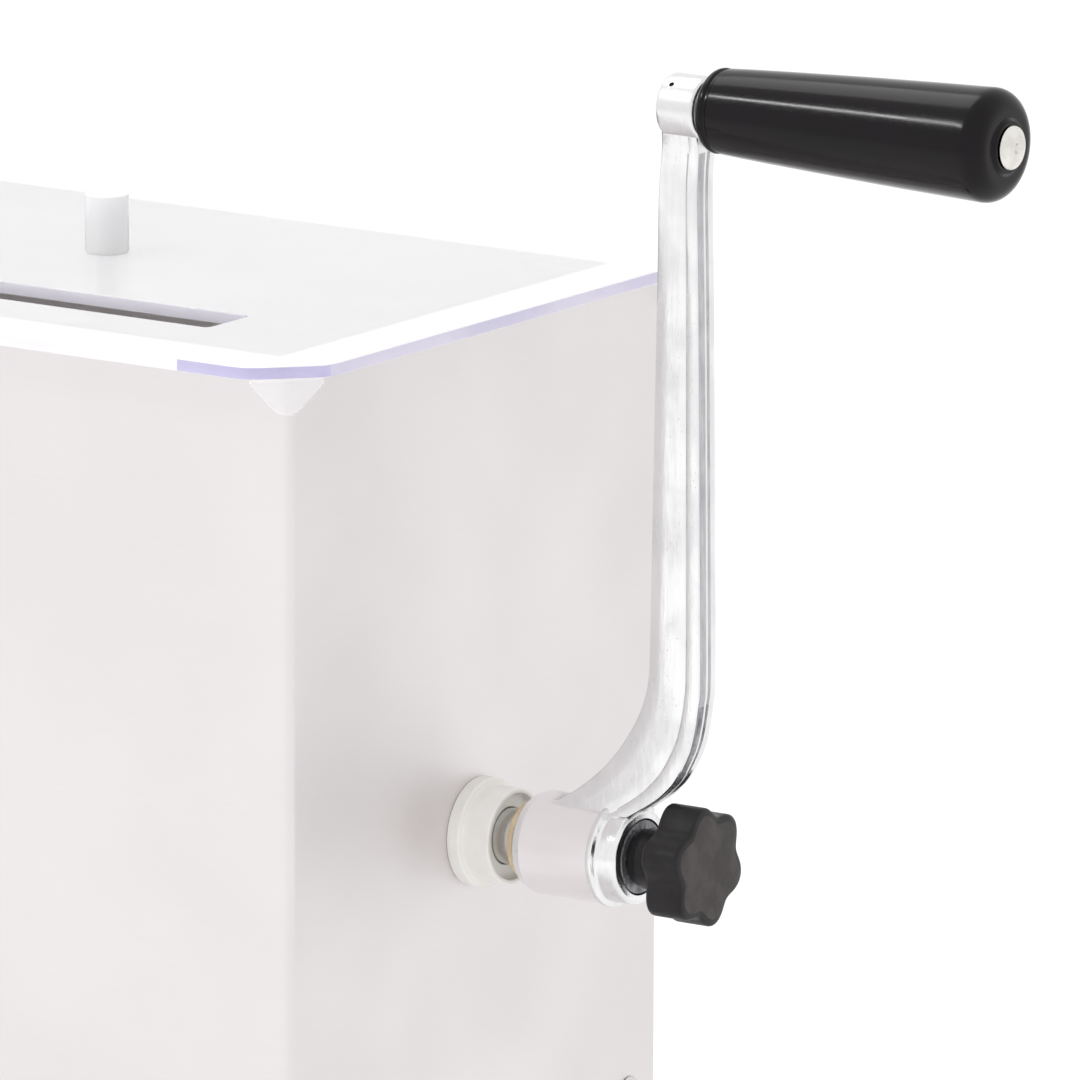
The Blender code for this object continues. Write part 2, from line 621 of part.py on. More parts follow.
def make_shaft():
    far = -TANK_LENGTH - FAR_END
    shaft = turned("mixing_shaft", [
        (JOURNAL_END, 0), (JOURNAL_END, JOURNAL_RADIUS - EDGE), (JOURNAL_END - EDGE, JOURNAL_RADIUS),
        (SHOULDER, JOURNAL_RADIUS), (SHOULDER, SHAFT_RADIUS), (far + FAR_STUB_CHAMFER, SHAFT_RADIUS),
        (far, SHAFT_RADIUS - FAR_STUB_CHAMFER), (far, 0),
    ], bright_steel, on_shaft(0), OUTWARDS, 20)
    flat_from = HUB_START - GAP
    length = JOURNAL_END + OVERCUT - flat_from
    key = box("journal_flat", (length, 3 * SHAFT_RADIUS, SHAFT_RADIUS), None,
              (FACE_X + flat_from + length / 2, 0, SHAFT_Z + JOURNAL_FLAT + SHAFT_RADIUS / 2))
    cut(shaft, key)
    depth = JOURNAL_END - STUD_IN_SHAFT - STUD_HOLE_SPARE
    cut(shaft, rod("stud_hole", STUD_RADIUS + GAP, depth, JOURNAL_END + OVERCUT, on_shaft(0), OUTWARDS, 12))
    reach = SHAFT_RADIUS + OVERCUT
    for index, (outwards, turn) in enumerate(paddle_places()):
        hole = rod(f"paddle_hole_{index + 1}", PADDLE_ROD_RADIUS + GAP, -reach, reach,
                   on_shaft(outwards), (turn, 0, 0), 12)
        cut(shaft, hole)
    return shaft


def make_paddle(number, outwards, turn):
    """A blade welded to a rod that passes through the shaft, and the nut that holds it."""
    seat = SHAFT_RADIUS + GAP
    collar = seat + PADDLE_COLLAR_THICK
    blade_low = PADDLE_REACH - BLADE_LENGTH
    rod_top = blade_low + BLADE_LENGTH * PADDLE_ROD_SHARE
    tail = -seat - PADDLE_NUT_THICK - PADDLE_THREAD_PROUD
    paddle = turned(f"paddle_{number}", [
        (rod_top, 0), (rod_top - CHAMFER, PADDLE_ROD_RADIUS - CHAMFER),
        (rod_top - PADDLE_ROD_TAPER, PADDLE_ROD_RADIUS),
        (collar, PADDLE_ROD_RADIUS), (collar, PADDLE_COLLAR_RADIUS), (seat, PADDLE_COLLAR_RADIUS),
        (seat, PADDLE_ROD_RADIUS), (tail + CHAMFER, PADDLE_ROD_RADIUS), (tail, PADDLE_ROD_RADIUS - CHAMFER),
        (tail, 0),
    ], bright_steel, on_shaft(outwards), (turn, 0, 0), 12)
    half = BLADE_WIDTH / 2
    blade_outline = rounded([(-half, blade_low, BLADE_CORNER), (half, blade_low, BLADE_CORNER),
                             (half, PADDLE_REACH, BLADE_CORNER), (-half, PADDLE_REACH, BLADE_CORNER)], 3)
    tilt = Matrix.Rotation(turn, 4, "X") @ Matrix.Rotation(BLADE_PITCH, 4, "Z")
    tilt = tilt @ Matrix.Rotation(pi / 2, 4, "X")
    blade = flat(f"paddle_{number}_blade", [blade_outline], BLADE_THICK, None,
                 on_shaft(outwards), tilt.to_euler())
    join(paddle, blade)
    middle = -seat - PADDLE_NUT_THICK / 2
    nut_spot = Vector(on_shaft(outwards)) + Matrix.Rotation(turn, 3, "X") @ Vector((0, 0, middle))
    nut = flat(f"paddle_nut_{number}", [circle(PADDLE_NUT_RADIUS, 6), circle(PADDLE_ROD_RADIUS + GAP, 12)],
               PADDLE_NUT_THICK, bright_steel, nut_spot, (turn, 0, 0))
    return paddle, nut


def make_end_collar():
    """The ring and set screw that keep the shaft from sliding out at the far end."""
    bore = SHAFT_RADIUS + GAP
    low = COLLAR_START
    top = low + COLLAR_LENGTH
    location = (FAR_FACE_X, 0, SHAFT_Z)
    collar = turned("end_collar", [
        (top, bore), (top, COLLAR_RADIUS - CHAMFER), (top - CHAMFER, COLLAR_RADIUS),
        (low + CHAMFER, COLLAR_RADIUS), (low, COLLAR_RADIUS - CHAMFER), (low, bore),
    ], bright_steel, location, FAR_OUTWARDS, 20, ring=True)
    spot = (FAR_FACE_X - low - COLLAR_LENGTH / 2, 0, SHAFT_Z)
    hole_from = bore - CHAMFER
    hole_to = COLLAR_RADIUS + OVERCUT
    cut(collar, rod("set_screw_hole", SET_SCREW_RADIUS + GAP, hole_from, hole_to, spot, steps=10))
    top_of_screw = COLLAR_RADIUS - SET_SCREW_SUNK
    foot_of_screw = bore
    socket = SET_SCREW_RADIUS * 0.5
    screw = turned("end_collar_screw", [
        (top_of_screw - SET_SCREW_SOCKET_DEPTH, 0), (top_of_screw - SET_SCREW_SOCKET_DEPTH, socket),
        (top_of_screw, socket), (top_of_screw, SET_SCREW_RADIUS), (foot_of_screw + CHAMFER, SET_SCREW_RADIUS),
        (foot_of_screw, SET_SCREW_RADIUS - CHAMFER), (foot_of_screw, 0),
    ], bright_steel, spot, steps=10)
    return collar, screw


# ---- crank ----

def arm_outline():
    """The crank arm seen from the side: X outwards from the face, Y up from the shaft's axis."""
    root = HUB_START + ARM_ROOT_INSET
    root_rise = HUB_RADIUS * ARM_ROOT_SHARE
    inner_corner = root_rise + (ARM_BACK_LOW - root) * tan(ARM_ROOT_RISE)
    front_low = ARM_BACK_LOW + ARM_DEPTH_LOW
    under_end = HUB_END - ARM_UNDER_INSET
    under_rise = HUB_END_RADIUS * ARM_UNDER_SHARE
    slope = (KNOB_HEAD_RADIUS + KNOB_ARM_CLEARANCE - under_rise) / (HEAD_START - under_end)
    outer_corner = under_rise + (front_low - under_end) * slope
    sunk_end = under_end - ARM_SUNK
    return rounded([
        (root, root_rise, 0), (ARM_BACK_LOW, inner_corner, ARM_INNER_BEND),
        (ARM_BACK_HIGH, CRANK_RADIUS, 0), (ARM_BACK_HIGH + ARM_DEPTH_HIGH, CRANK_RADIUS, 0),
        (front_low, outer_corner, ARM_OUTER_BEND),
        (sunk_end, under_rise - ARM_SUNK * slope, 0),
        (sunk_end, ARM_FLOOR, 0), (root, ARM_FLOOR, 0),
    ], 8)


def make_crank_arm():
    """Hub, cranked arm and eye in one casting, bored for the shaft and for the grip's pin."""
    upright = (pi / 2, 0, 0)
    arm = flat("crank_arm", [arm_outline()], ARM_WIDTH, cast_metal, on_shaft(0), upright)
    soften(arm, ARM_EDGE, 1)
    groove_height = ARM_GROOVE_TO - ARM_GROOVE_FROM
    lean = atan2(ARM_DEPTH_LOW - ARM_DEPTH_HIGH - ARM_LEAN, CRANK_RADIUS)
    front = (ARM_BACK_LOW + ARM_DEPTH_LOW + ARM_BACK_HIGH + ARM_DEPTH_HIGH) / 2
    middle = SHAFT_Z + (ARM_GROOVE_FROM + ARM_GROOVE_TO) / 2
    groove = box("arm_groove", (2 * ARM_GROOVE_DEPTH, ARM_GROOVE_WIDTH, groove_height), None,
                 (FACE_X + front, 0, middle), (0, -lean, 0))
    cut(arm, groove)
    groove_low = HUB_START + HUB_GROOVE_AT
    groove_high = groove_low + HUB_GROOVE_WIDTH
    hub = turned("crank_hub", [
        (HUB_END, 0), (HUB_END, HUB_END_RADIUS - HUB_END_ROUND), (HUB_END - EDGE, HUB_END_RADIUS - EDGE),
        (HUB_END - HUB_END_ROUND, HUB_END_RADIUS), (groove_high + HUB_END_STEP, HUB_END_RADIUS),
        (groove_high + HUB_END_ROUND, HUB_RADIUS), (groove_high, HUB_RADIUS),
        (groove_high, HUB_RADIUS - HUB_GROOVE_DEPTH), (groove_low, HUB_RADIUS - HUB_GROOVE_DEPTH),
        (groove_low, HUB_RADIUS), (HUB_START + HUB_CHAMFER_LENGTH, HUB_RADIUS),
        (HUB_START + HUB_CHAMFER_LENGTH * HUB_CHAMFER_KNEE, HUB_RADIUS - HUB_CHAMFER_DROP),
        (HUB_START, HUB_INNER_RADIUS),
        (HUB_START, 0),
    ], None, on_shaft(0), OUTWARDS, 28)
    join(arm, hub)
    eye = turned("crank_eye", [
        (EYE_END, 0), (EYE_END, EYE_RADIUS - EYE_EDGE), (EYE_END - EYE_EDGE, EYE_RADIUS),
        (ARM_BACK_HIGH + EYE_EDGE, EYE_RADIUS), (ARM_BACK_HIGH, EYE_RADIUS - EYE_EDGE), (ARM_BACK_HIGH, 0),
    ], None, (FACE_X, 0, SHAFT_Z + CRANK_RADIUS), OUTWARDS, 20)
    join(arm, eye)
    clear = JOURNAL_RADIUS + GAP
    bore_length = HUB_LENGTH + 2 * OVERCUT
    bore = flat("hub_bore", [d_outline(clear, JOURNAL_FLAT + GAP)], bore_length, None,
                on_shaft(HUB_START + HUB_LENGTH / 2), (pi / 2, 0, pi / 2))
    cut(arm, bore)
    cut(arm, rod("hub_recess", HUB_RECESS_RADIUS, HUB_SEAT, HUB_END + OVERCUT, on_shaft(0), OUTWARDS, 24))
    pin_hole = GRIP_PIN_RADIUS + GAP
    cut(arm, rod("eye_bore", pin_hole, ARM_BACK_HIGH - OVERCUT, EYE_END + OVERCUT,
                 (FACE_X, 0, SHAFT_Z + CRANK_RADIUS), OUTWARDS, 12))
    return arm


def washer(name, low, thickness, radius, bore, material, location, steps=20):
    return turned(name, [
        (low + thickness, bore), (low + thickness, radius), (low, radius), (low, bore),
    ], material, location, OUTWARDS, steps, ring=True)


def brass(name):
    return principled(name, (0.78, 0.58, 0.30), 0.3, 1.0)


# ---- grip ----

def make_grip(axis):
    """A tapered grip with rounded ends and a fine ring near the arm."""
    bore = GRIP_PIN_RADIUS + GAP
    taper = (GRIP_OUTER_RADIUS - GRIP_INNER_RADIUS) / GRIP_LENGTH
    shoulder = GRIP_END - GRIP_SEAT_SUNK - GRIP_ROUND_OUT
    arc = [pi / 2 * step / 4 for step in range(5)]
    dome = [(shoulder + GRIP_ROUND_OUT * cos(turn), GRIP_OUTER_RADIUS - GRIP_ROUND_OUT * (1 - sin(turn)))
            for turn in arc]
    turns = (0, radians(45), radians(90))
    inner = [(GRIP_START + GRIP_ROUND_IN * (1 - sin(turn)),
              GRIP_INNER_RADIUS - GRIP_ROUND_IN * (1 - cos(turn))) for turn in turns]
    profile = [(GRIP_END, bore), (GRIP_END, GRIP_PIN_HEAD_RADIUS + GRIP_SEAT_SUNK)] + dome
    slope = GRIP_RING_HALF + GRIP_RING_SLOPE
    groove = [(slope, 0), (GRIP_RING_HALF, GRIP_RING_DEPTH), (-GRIP_RING_HALF, GRIP_RING_DEPTH), (-slope, 0)]
    for along, sunk in groove:
        ring_at = GRIP_RING_AT + along
        profile.append((GRIP_START + ring_at, GRIP_INNER_RADIUS + taper * ring_at - sunk))
    profile += inner + [(GRIP_START, bore)]
    return turned("grip", profile, black_plastic, axis, OUTWARDS, 28, ring=True)


def make_grip_pin(axis):
    """The steel pin that the grip turns on, headed outside and riveted behind the eye."""
    head = GRIP_END + GAP
    tail = ARM_BACK_HIGH - GAP
    return turned("grip_pin", [
        (PIN_TOP - CHAMFER, 0), (PIN_TOP - CHAMFER * 0.2, GRIP_PIN_HEAD_RADIUS * 0.17),
        (PIN_TOP, GRIP_PIN_HEAD_RADIUS * 0.31), (PIN_TOP - CHAMFER * 0.4, GRIP_PIN_HEAD_RADIUS * 0.66),
        (PIN_TOP - CHAMFER * 1.3, GRIP_PIN_HEAD_RADIUS * 0.94),
        (PIN_TOP - CHAMFER * 1.8, GRIP_PIN_HEAD_RADIUS), (head, GRIP_PIN_HEAD_RADIUS),
        (head, GRIP_PIN_RADIUS), (tail, GRIP_PIN_RADIUS),
        (tail, GRIP_PIN_TAIL_RADIUS), (tail - GRIP_PIN_TAIL_THICK * 0.6, GRIP_PIN_TAIL_RADIUS * 0.8),
        (tail - GRIP_PIN_TAIL_THICK, GRIP_PIN_TAIL_RADIUS * 0.4), (tail - GRIP_PIN_TAIL_THICK, 0),
    ], bright_steel, axis, OUTWARDS, 16)


# ---- clamping knob ----

def lobed_outline(points=48):
    middle = (KNOB_HEAD_RADIUS + KNOB_VALLEY_RADIUS) / 2
    swing = (KNOB_HEAD_RADIUS - KNOB_VALLEY_RADIUS) / 2
    outline = []
    for index in range(points):
        turn = 2 * pi * index / points
        radius = middle + swing * cos(KNOB_LOBES * (turn - KNOB_TURN))
        outline.append((radius * cos(turn), radius * sin(turn)))
    return outline


def make_star_knob():
    """A six-lobed head on a round neck, with a blind hole for its threaded stud."""
    centre = on_shaft(HEAD_START + KNOB_HEAD_THICK / 2)
    knob = flat("star_knob", [lobed_outline()], KNOB_HEAD_THICK, black_plastic, centre, (pi / 2, 0, pi / 2))
    soften(knob, KNOB_EDGE, 1)
    neck = turned("knob_neck", [
        (HEAD_START + KNOB_NECK_SUNK, 0), (HEAD_START + KNOB_NECK_SUNK, KNOB_NECK_RADIUS),
        (NECK_START + KNOB_STEP_AT + EDGE, KNOB_NECK_RADIUS),
        (NECK_START + KNOB_STEP_AT, KNOB_NECK_RADIUS - KNOB_STEP_DEPTH),
        (NECK_START, KNOB_NECK_RADIUS - KNOB_STEP_DEPTH), (NECK_START, 0),
    ], None, on_shaft(0), OUTWARDS, 20)
    join(knob, neck)
    hole_end = NECK_START + STUD_IN_KNOB + KNOB_HOLE_SPARE
    cut(knob, rod("knob_stud_hole", STUD_RADIUS + GAP, NECK_START - OVERCUT, hole_end,
                  on_shaft(0), OUTWARDS, 12))
    return knob


def make_knob_stud():
    low = JOURNAL_END - STUD_IN_SHAFT
    top = NECK_START + STUD_IN_KNOB
    return turned("knob_stud", [
        (top, 0), (top, STUD_RADIUS - EDGE), (top - EDGE, STUD_RADIUS),
        (low + CHAMFER, STUD_RADIUS), (low, STUD_RADIUS - CHAMFER), (low, 0),
    ], bright_steel, on_shaft(0), OUTWARDS, 14)


# ---- lid ----

def make_lid():
    """A clear sheet with cut corners, a long pouring slot and a hole for the knob's screw."""
    half_x = LID_LENGTH / 2
    half_y = LID_WIDTH / 2
    cut_off = LID_CORNER_CUT
    blend = LID_CORNER_BLEND
    corners = [
        (half_x - cut_off, -half_y, blend), (half_x, -half_y + cut_off, blend),
        (half_x, half_y - cut_off, blend), (half_x - cut_off, half_y, blend),
        (-half_x + cut_off, half_y, blend), (-half_x, half_y - cut_off, blend),
        (-half_x, -half_y + cut_off, blend), (-half_x + cut_off, -half_y, blend),
    ]
    slot = rounded([
        (-SLOT_LENGTH / 2, SLOT_Y - SLOT_WIDTH / 2, SLOT_CORNER),
        (SLOT_LENGTH / 2, SLOT_Y - SLOT_WIDTH / 2, SLOT_CORNER),
        (SLOT_LENGTH / 2, SLOT_Y + SLOT_WIDTH / 2, SLOT_CORNER),
        (-SLOT_LENGTH / 2, SLOT_Y + SLOT_WIDTH / 2, SLOT_CORNER),
    ], 3)
    hole = circle(LID_SCREW_RADIUS + GAP, 16, (0, LID_KNOB_Y))
    return flat("lid", [rounded(corners, 3), slot, hole], LID_THICK, clear_plastic,
                (TANK_X, 0, LID_Z + LID_THICK / 2))


def make_lid_knob():
    top = LID_KNOB_HEIGHT
    base = (TANK_X, LID_KNOB_Y, LID_Z + LID_THICK + GAP)
    bore = LID_SCREW_RADIUS + GAP
    hole_top = LID_SCREW_REACH + LID_KNOB_HOLE_SPARE
    knob = turned("lid_knob", [
        (top, 0), (top, LID_KNOB_RADIUS - LID_KNOB_EDGE), (top - LID_KNOB_EDGE, LID_KNOB_RADIUS),
        (LID_KNOB_FOOT_EDGE, LID_KNOB_RADIUS), (0, LID_KNOB_RADIUS - LID_KNOB_FOOT_EDGE), (0, bore),
        (hole_top, bore), (hole_top, 0),
    ], clear_plastic, base, steps=20)
    shank = LID_THICK + GAP + LID_SCREW_REACH
    screw = turned("lid_knob_screw", [
        (shank, 0), (shank, LID_SCREW_RADIUS - EDGE), (shank - EDGE, LID_SCREW_RADIUS),
        (-GAP, LID_SCREW_RADIUS), (-GAP, LID_SCREW_HEAD_RADIUS),
        (-LID_SCREW_HEAD_THICK * 0.5, LID_SCREW_HEAD_RADIUS),
        (-LID_SCREW_HEAD_THICK, LID_SCREW_HEAD_RADIUS - LID_SCREW_HEAD_SLOPE), (-LID_SCREW_HEAD_THICK, 0),
    ], clear_plastic, (TANK_X, LID_KNOB_Y, LID_Z), steps=14)
    return knob, screw


def make_tab(number, side_x, side_y):
    """A clear locating tab under a cut corner of the lid, just outside the tank's corner."""
    half = LID_CORNER_CUT / sqrt(2) - GAP
    half_angle = atan2(half, TAB_DEPTH)
    for _ in range(4):
        point = TAB_DEPTH + TAB_TIP_RADIUS * (1 / sin(half_angle) - 1)
        half_angle = atan2(half, point)
    ends = TAB_END_RADIUS
    outline = rounded([(-half, 0, ends), (0, -point, TAB_TIP_RADIUS), (half, 0, ends)], 6)
    outwards = Vector((side_x, side_y, 0)).normalized()
    along = Vector((0, 0, 1)).cross(outwards)
    middle = Vector((TANK_X + side_x * (LID_LENGTH - LID_CORNER_CUT) / 2,
                     side_y * (LID_WIDTH - LID_CORNER_CUT) / 2, LID_Z - GAP))
    middle -= outwards * (TAB_THICK / 2)
    turn = Matrix((along, Vector((0, 0, 1)), outwards)).transposed()
    return flat(f"corner_tab_{number}", [outline], TAB_THICK, clear_plastic, middle, turn.to_euler())


# ---- assembly ----

CORNERS = [(1, -1), (1, 1), (-1, 1), (-1, -1)]

tank_shell = make_tank()
make_trough()
for corner_number, (towards_x, towards_y) in enumerate(CORNERS, 1):
    make_leg(corner_number, towards_x, towards_y, tank_shell)
make_bush("crank_side", FACE_X, OUTWARDS)
make_bush("far_side", FAR_FACE_X, FAR_OUTWARDS)

shaft_axis = axis_empty("shaft_axis", on_shaft(0))
turning = [make_shaft(), make_crank_arm()]
for paddle_number, (paddle_at, paddle_turn) in enumerate(paddle_places(), 1):
    turning += make_paddle(paddle_number, paddle_at, paddle_turn)
turning += make_end_collar()
turning.append(washer("thrust_washer", SHOULDER + GAP, THRUST_WASHER_THICK, THRUST_WASHER_RADIUS,
                      JOURNAL_RADIUS + GAP, brass, on_shaft(0)))
turning.append(washer("hub_washer", HUB_SEAT + GAP, HUB_WASHER_THICK, HUB_RECESS_RADIUS - 0.0006,
                      STUD_RADIUS + GAP, bright_steel, on_shaft(0)))
grip_centre = (FACE_X, 0, SHAFT_Z + CRANK_RADIUS)
turning.append(make_grip_pin(grip_centre))
turning.append(washer("grip_washer", EYE_END + GAP, GRIP_WASHER_THICK, GRIP_WASHER_RADIUS,
                      GRIP_PIN_RADIUS + GAP, bright_steel, grip_centre))
hang_on(shaft_axis, turning)

grip_axis = axis_empty("grip_axis", grip_centre)
hang_on(grip_axis, [make_grip(grip_centre)])
hang_on(shaft_axis, [grip_axis])

knob_axis = axis_empty("knob_axis", on_shaft(NECK_START))
hang_on(knob_axis, [make_star_knob(), make_knob_stud()])
hang_on(shaft_axis, [knob_axis])

lid_seat = axis_empty("lid_seat", (TANK_X, 0, LID_Z))
lid_pieces = [make_lid(), *make_lid_knob()]
lid_pieces += [make_tab(number, *sides) for number, sides in enumerate(CORNERS, 1)]
hang_on(lid_seat, lid_pieces)
bpy.context.view_layer.update()
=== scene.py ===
from math import atan2, cos, pi, radians, sin, sqrt, tan

import bmesh
import bpy
from mathutils import Matrix, Vector


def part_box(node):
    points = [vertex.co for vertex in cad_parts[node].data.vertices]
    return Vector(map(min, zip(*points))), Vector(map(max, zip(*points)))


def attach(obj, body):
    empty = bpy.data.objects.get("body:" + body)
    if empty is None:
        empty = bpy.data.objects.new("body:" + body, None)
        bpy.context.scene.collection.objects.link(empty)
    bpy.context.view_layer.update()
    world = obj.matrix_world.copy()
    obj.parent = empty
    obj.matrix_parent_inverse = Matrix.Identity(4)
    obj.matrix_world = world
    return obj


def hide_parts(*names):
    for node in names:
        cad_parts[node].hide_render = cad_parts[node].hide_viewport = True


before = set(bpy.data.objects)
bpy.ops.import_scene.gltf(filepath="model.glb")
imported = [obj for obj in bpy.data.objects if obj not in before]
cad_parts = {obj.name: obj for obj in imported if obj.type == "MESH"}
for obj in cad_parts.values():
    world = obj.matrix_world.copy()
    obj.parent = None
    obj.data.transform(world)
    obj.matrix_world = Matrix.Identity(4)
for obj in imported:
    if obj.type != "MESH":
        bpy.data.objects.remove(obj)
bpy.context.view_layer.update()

# places that the pieces below hang on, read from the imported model
tankLow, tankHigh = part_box("tank_shell")
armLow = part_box("crank_arm")[0]
gripLow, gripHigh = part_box("grip")
knobLow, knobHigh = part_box("star_knob")
collarLow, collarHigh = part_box("end_collar")
lidLow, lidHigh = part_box("lid")
faceX = tankHigh.x  # the crank-end wall
farX = tankLow.x
tankX = (faceX + farX) / 2
rimZ = tankHigh.z
axisZ = (collarLow.z + collarHigh.z) / 2
gripZ = (gripLow.z + gripHigh.z) / 2
alongShaft = Vector((1, 0, 0))
upwards = Vector((0, 0, 1))


def addNode(tree, kind, values=None, **settings):
    node = tree.nodes.new(kind)
    for key, value in settings.items():
        setattr(node, key, value)
    for label, value in (values or {}).items():
        node.inputs[label].default_value = value
    return node


def join(tree, *pairs):
    for source, target in pairs:
        tree.links.new(source, target)


def startGroup(name, values, result):  # values are vectors or plain numbers, result is a number
    group = bpy.data.node_groups.new(name, "ShaderNodeTree")
    for label, value in values.items():
        kind = "NodeSocketVector" if isinstance(value, tuple) else "NodeSocketFloat"
        socket = group.interface.new_socket(name=label, in_out="INPUT", socket_type=kind)
        socket.default_value = value
    group.interface.new_socket(name=result, in_out="OUTPUT", socket_type="NodeSocketFloat")
    return group, group.nodes.new("NodeGroupInput").outputs, group.nodes.new("NodeGroupOutput").inputs


def makeStreaks():  # long fine scratches of a rolled or brushed sheet
    group, start, end = startGroup(
        "streaks", {"Coordinates": (0, 0, 0), "Stretch": (1, 1, 1), "Scale": 60.0}, "Tone")
    stretch = addNode(group, "ShaderNodeVectorMath", operation="MULTIPLY")
    noise = addNode(group, "ShaderNodeTexNoise", {"Detail": 7, "Roughness": 0.65})
    spread = addNode(group, "ShaderNodeMapRange", {"From Min": 0.32, "From Max": 0.68})
    join(group, (start["Coordinates"], stretch.inputs[0]), (start["Stretch"], stretch.inputs[1]),
         (stretch.outputs[0], noise.inputs["Vector"]), (start["Scale"], noise.inputs["Scale"]),
         (noise.outputs["Fac"], spread.inputs["Value"]), (spread.outputs["Result"], end["Tone"]))
    return group


def makeClouds():  # broad uneven patches, as polishing and handling leave
    group, start, end = startGroup("clouds", {"Coordinates": (0, 0, 0), "Scale": 12.0}, "Tone")
    noise = addNode(group, "ShaderNodeTexNoise", {"Detail": 3})
    spread = addNode(group, "ShaderNodeMapRange", {"From Min": 0.36, "From Max": 0.64},
                     interpolation_type="SMOOTHSTEP")
    join(group, (start["Coordinates"], noise.inputs["Vector"]), (start["Scale"], noise.inputs["Scale"]),
         (noise.outputs["Fac"], spread.inputs["Value"]), (spread.outputs["Result"], end["Tone"]))
    return group


def makePits():  # scattered small pits or grains
    group, start, end = startGroup(
        "pits", {"Coordinates": (0, 0, 0), "Scale": 700.0, "Size": 0.25}, "Mask")
    cells = addNode(group, "ShaderNodeTexVoronoi")
    rim = addNode(group, "ShaderNodeMapRange", {"From Min": 0.0, "To Min": 1.0, "To Max": 0.0},
                  interpolation_type="SMOOTHSTEP")
    join(group, (start["Coordinates"], cells.inputs["Vector"]), (start["Scale"], cells.inputs["Scale"]),
         (cells.outputs["Distance"], rim.inputs["Value"]), (start["Size"], rim.inputs["From Max"]),
         (rim.outputs["Result"], end["Mask"]))
    return group


def makeTurning():  # tool lines round the shaft's axis or one parallel to it
    group, start, end = startGroup(
        "turning", {"Coordinates": (0, 0, 0), "Axis Point": (0, 0, 0), "Lines": 4000.0}, "Tone")
    place = addNode(group, "ShaderNodeVectorMath", operation="SUBTRACT")
    parts = addNode(group, "ShaderNodeSeparateXYZ")
    squareY, squareZ, total, radius, reach, count = [
        addNode(group, "ShaderNodeMath", operation=operation)
        for operation in ("MULTIPLY", "MULTIPLY", "ADD", "SQRT", "ADD", "MULTIPLY")]
    noise = addNode(group, "ShaderNodeTexNoise", {"Scale": 1.0, "Detail": 2}, noise_dimensions="1D")
    join(group, (start["Coordinates"], place.inputs[0]), (start["Axis Point"], place.inputs[1]),
         (place.outputs[0], parts.inputs[0]),
         (parts.outputs["Y"], squareY.inputs[0]), (parts.outputs["Y"], squareY.inputs[1]),
         (parts.outputs["Z"], squareZ.inputs[0]), (parts.outputs["Z"], squareZ.inputs[1]),
         (squareY.outputs[0], total.inputs[0]), (squareZ.outputs[0], total.inputs[1]),
         (total.outputs[0], radius.inputs[0]), (radius.outputs[0], reach.inputs[0]),
         (parts.outputs["X"], reach.inputs[1]), (reach.outputs[0], count.inputs[0]),
         (start["Lines"], count.inputs[1]), (count.outputs[0], noise.inputs["W"]),
         (noise.outputs["Fac"], end["Tone"]))
    return group


streaks, clouds, pits, turning = makeStreaks(), makeClouds(), makePits(), makeTurning()

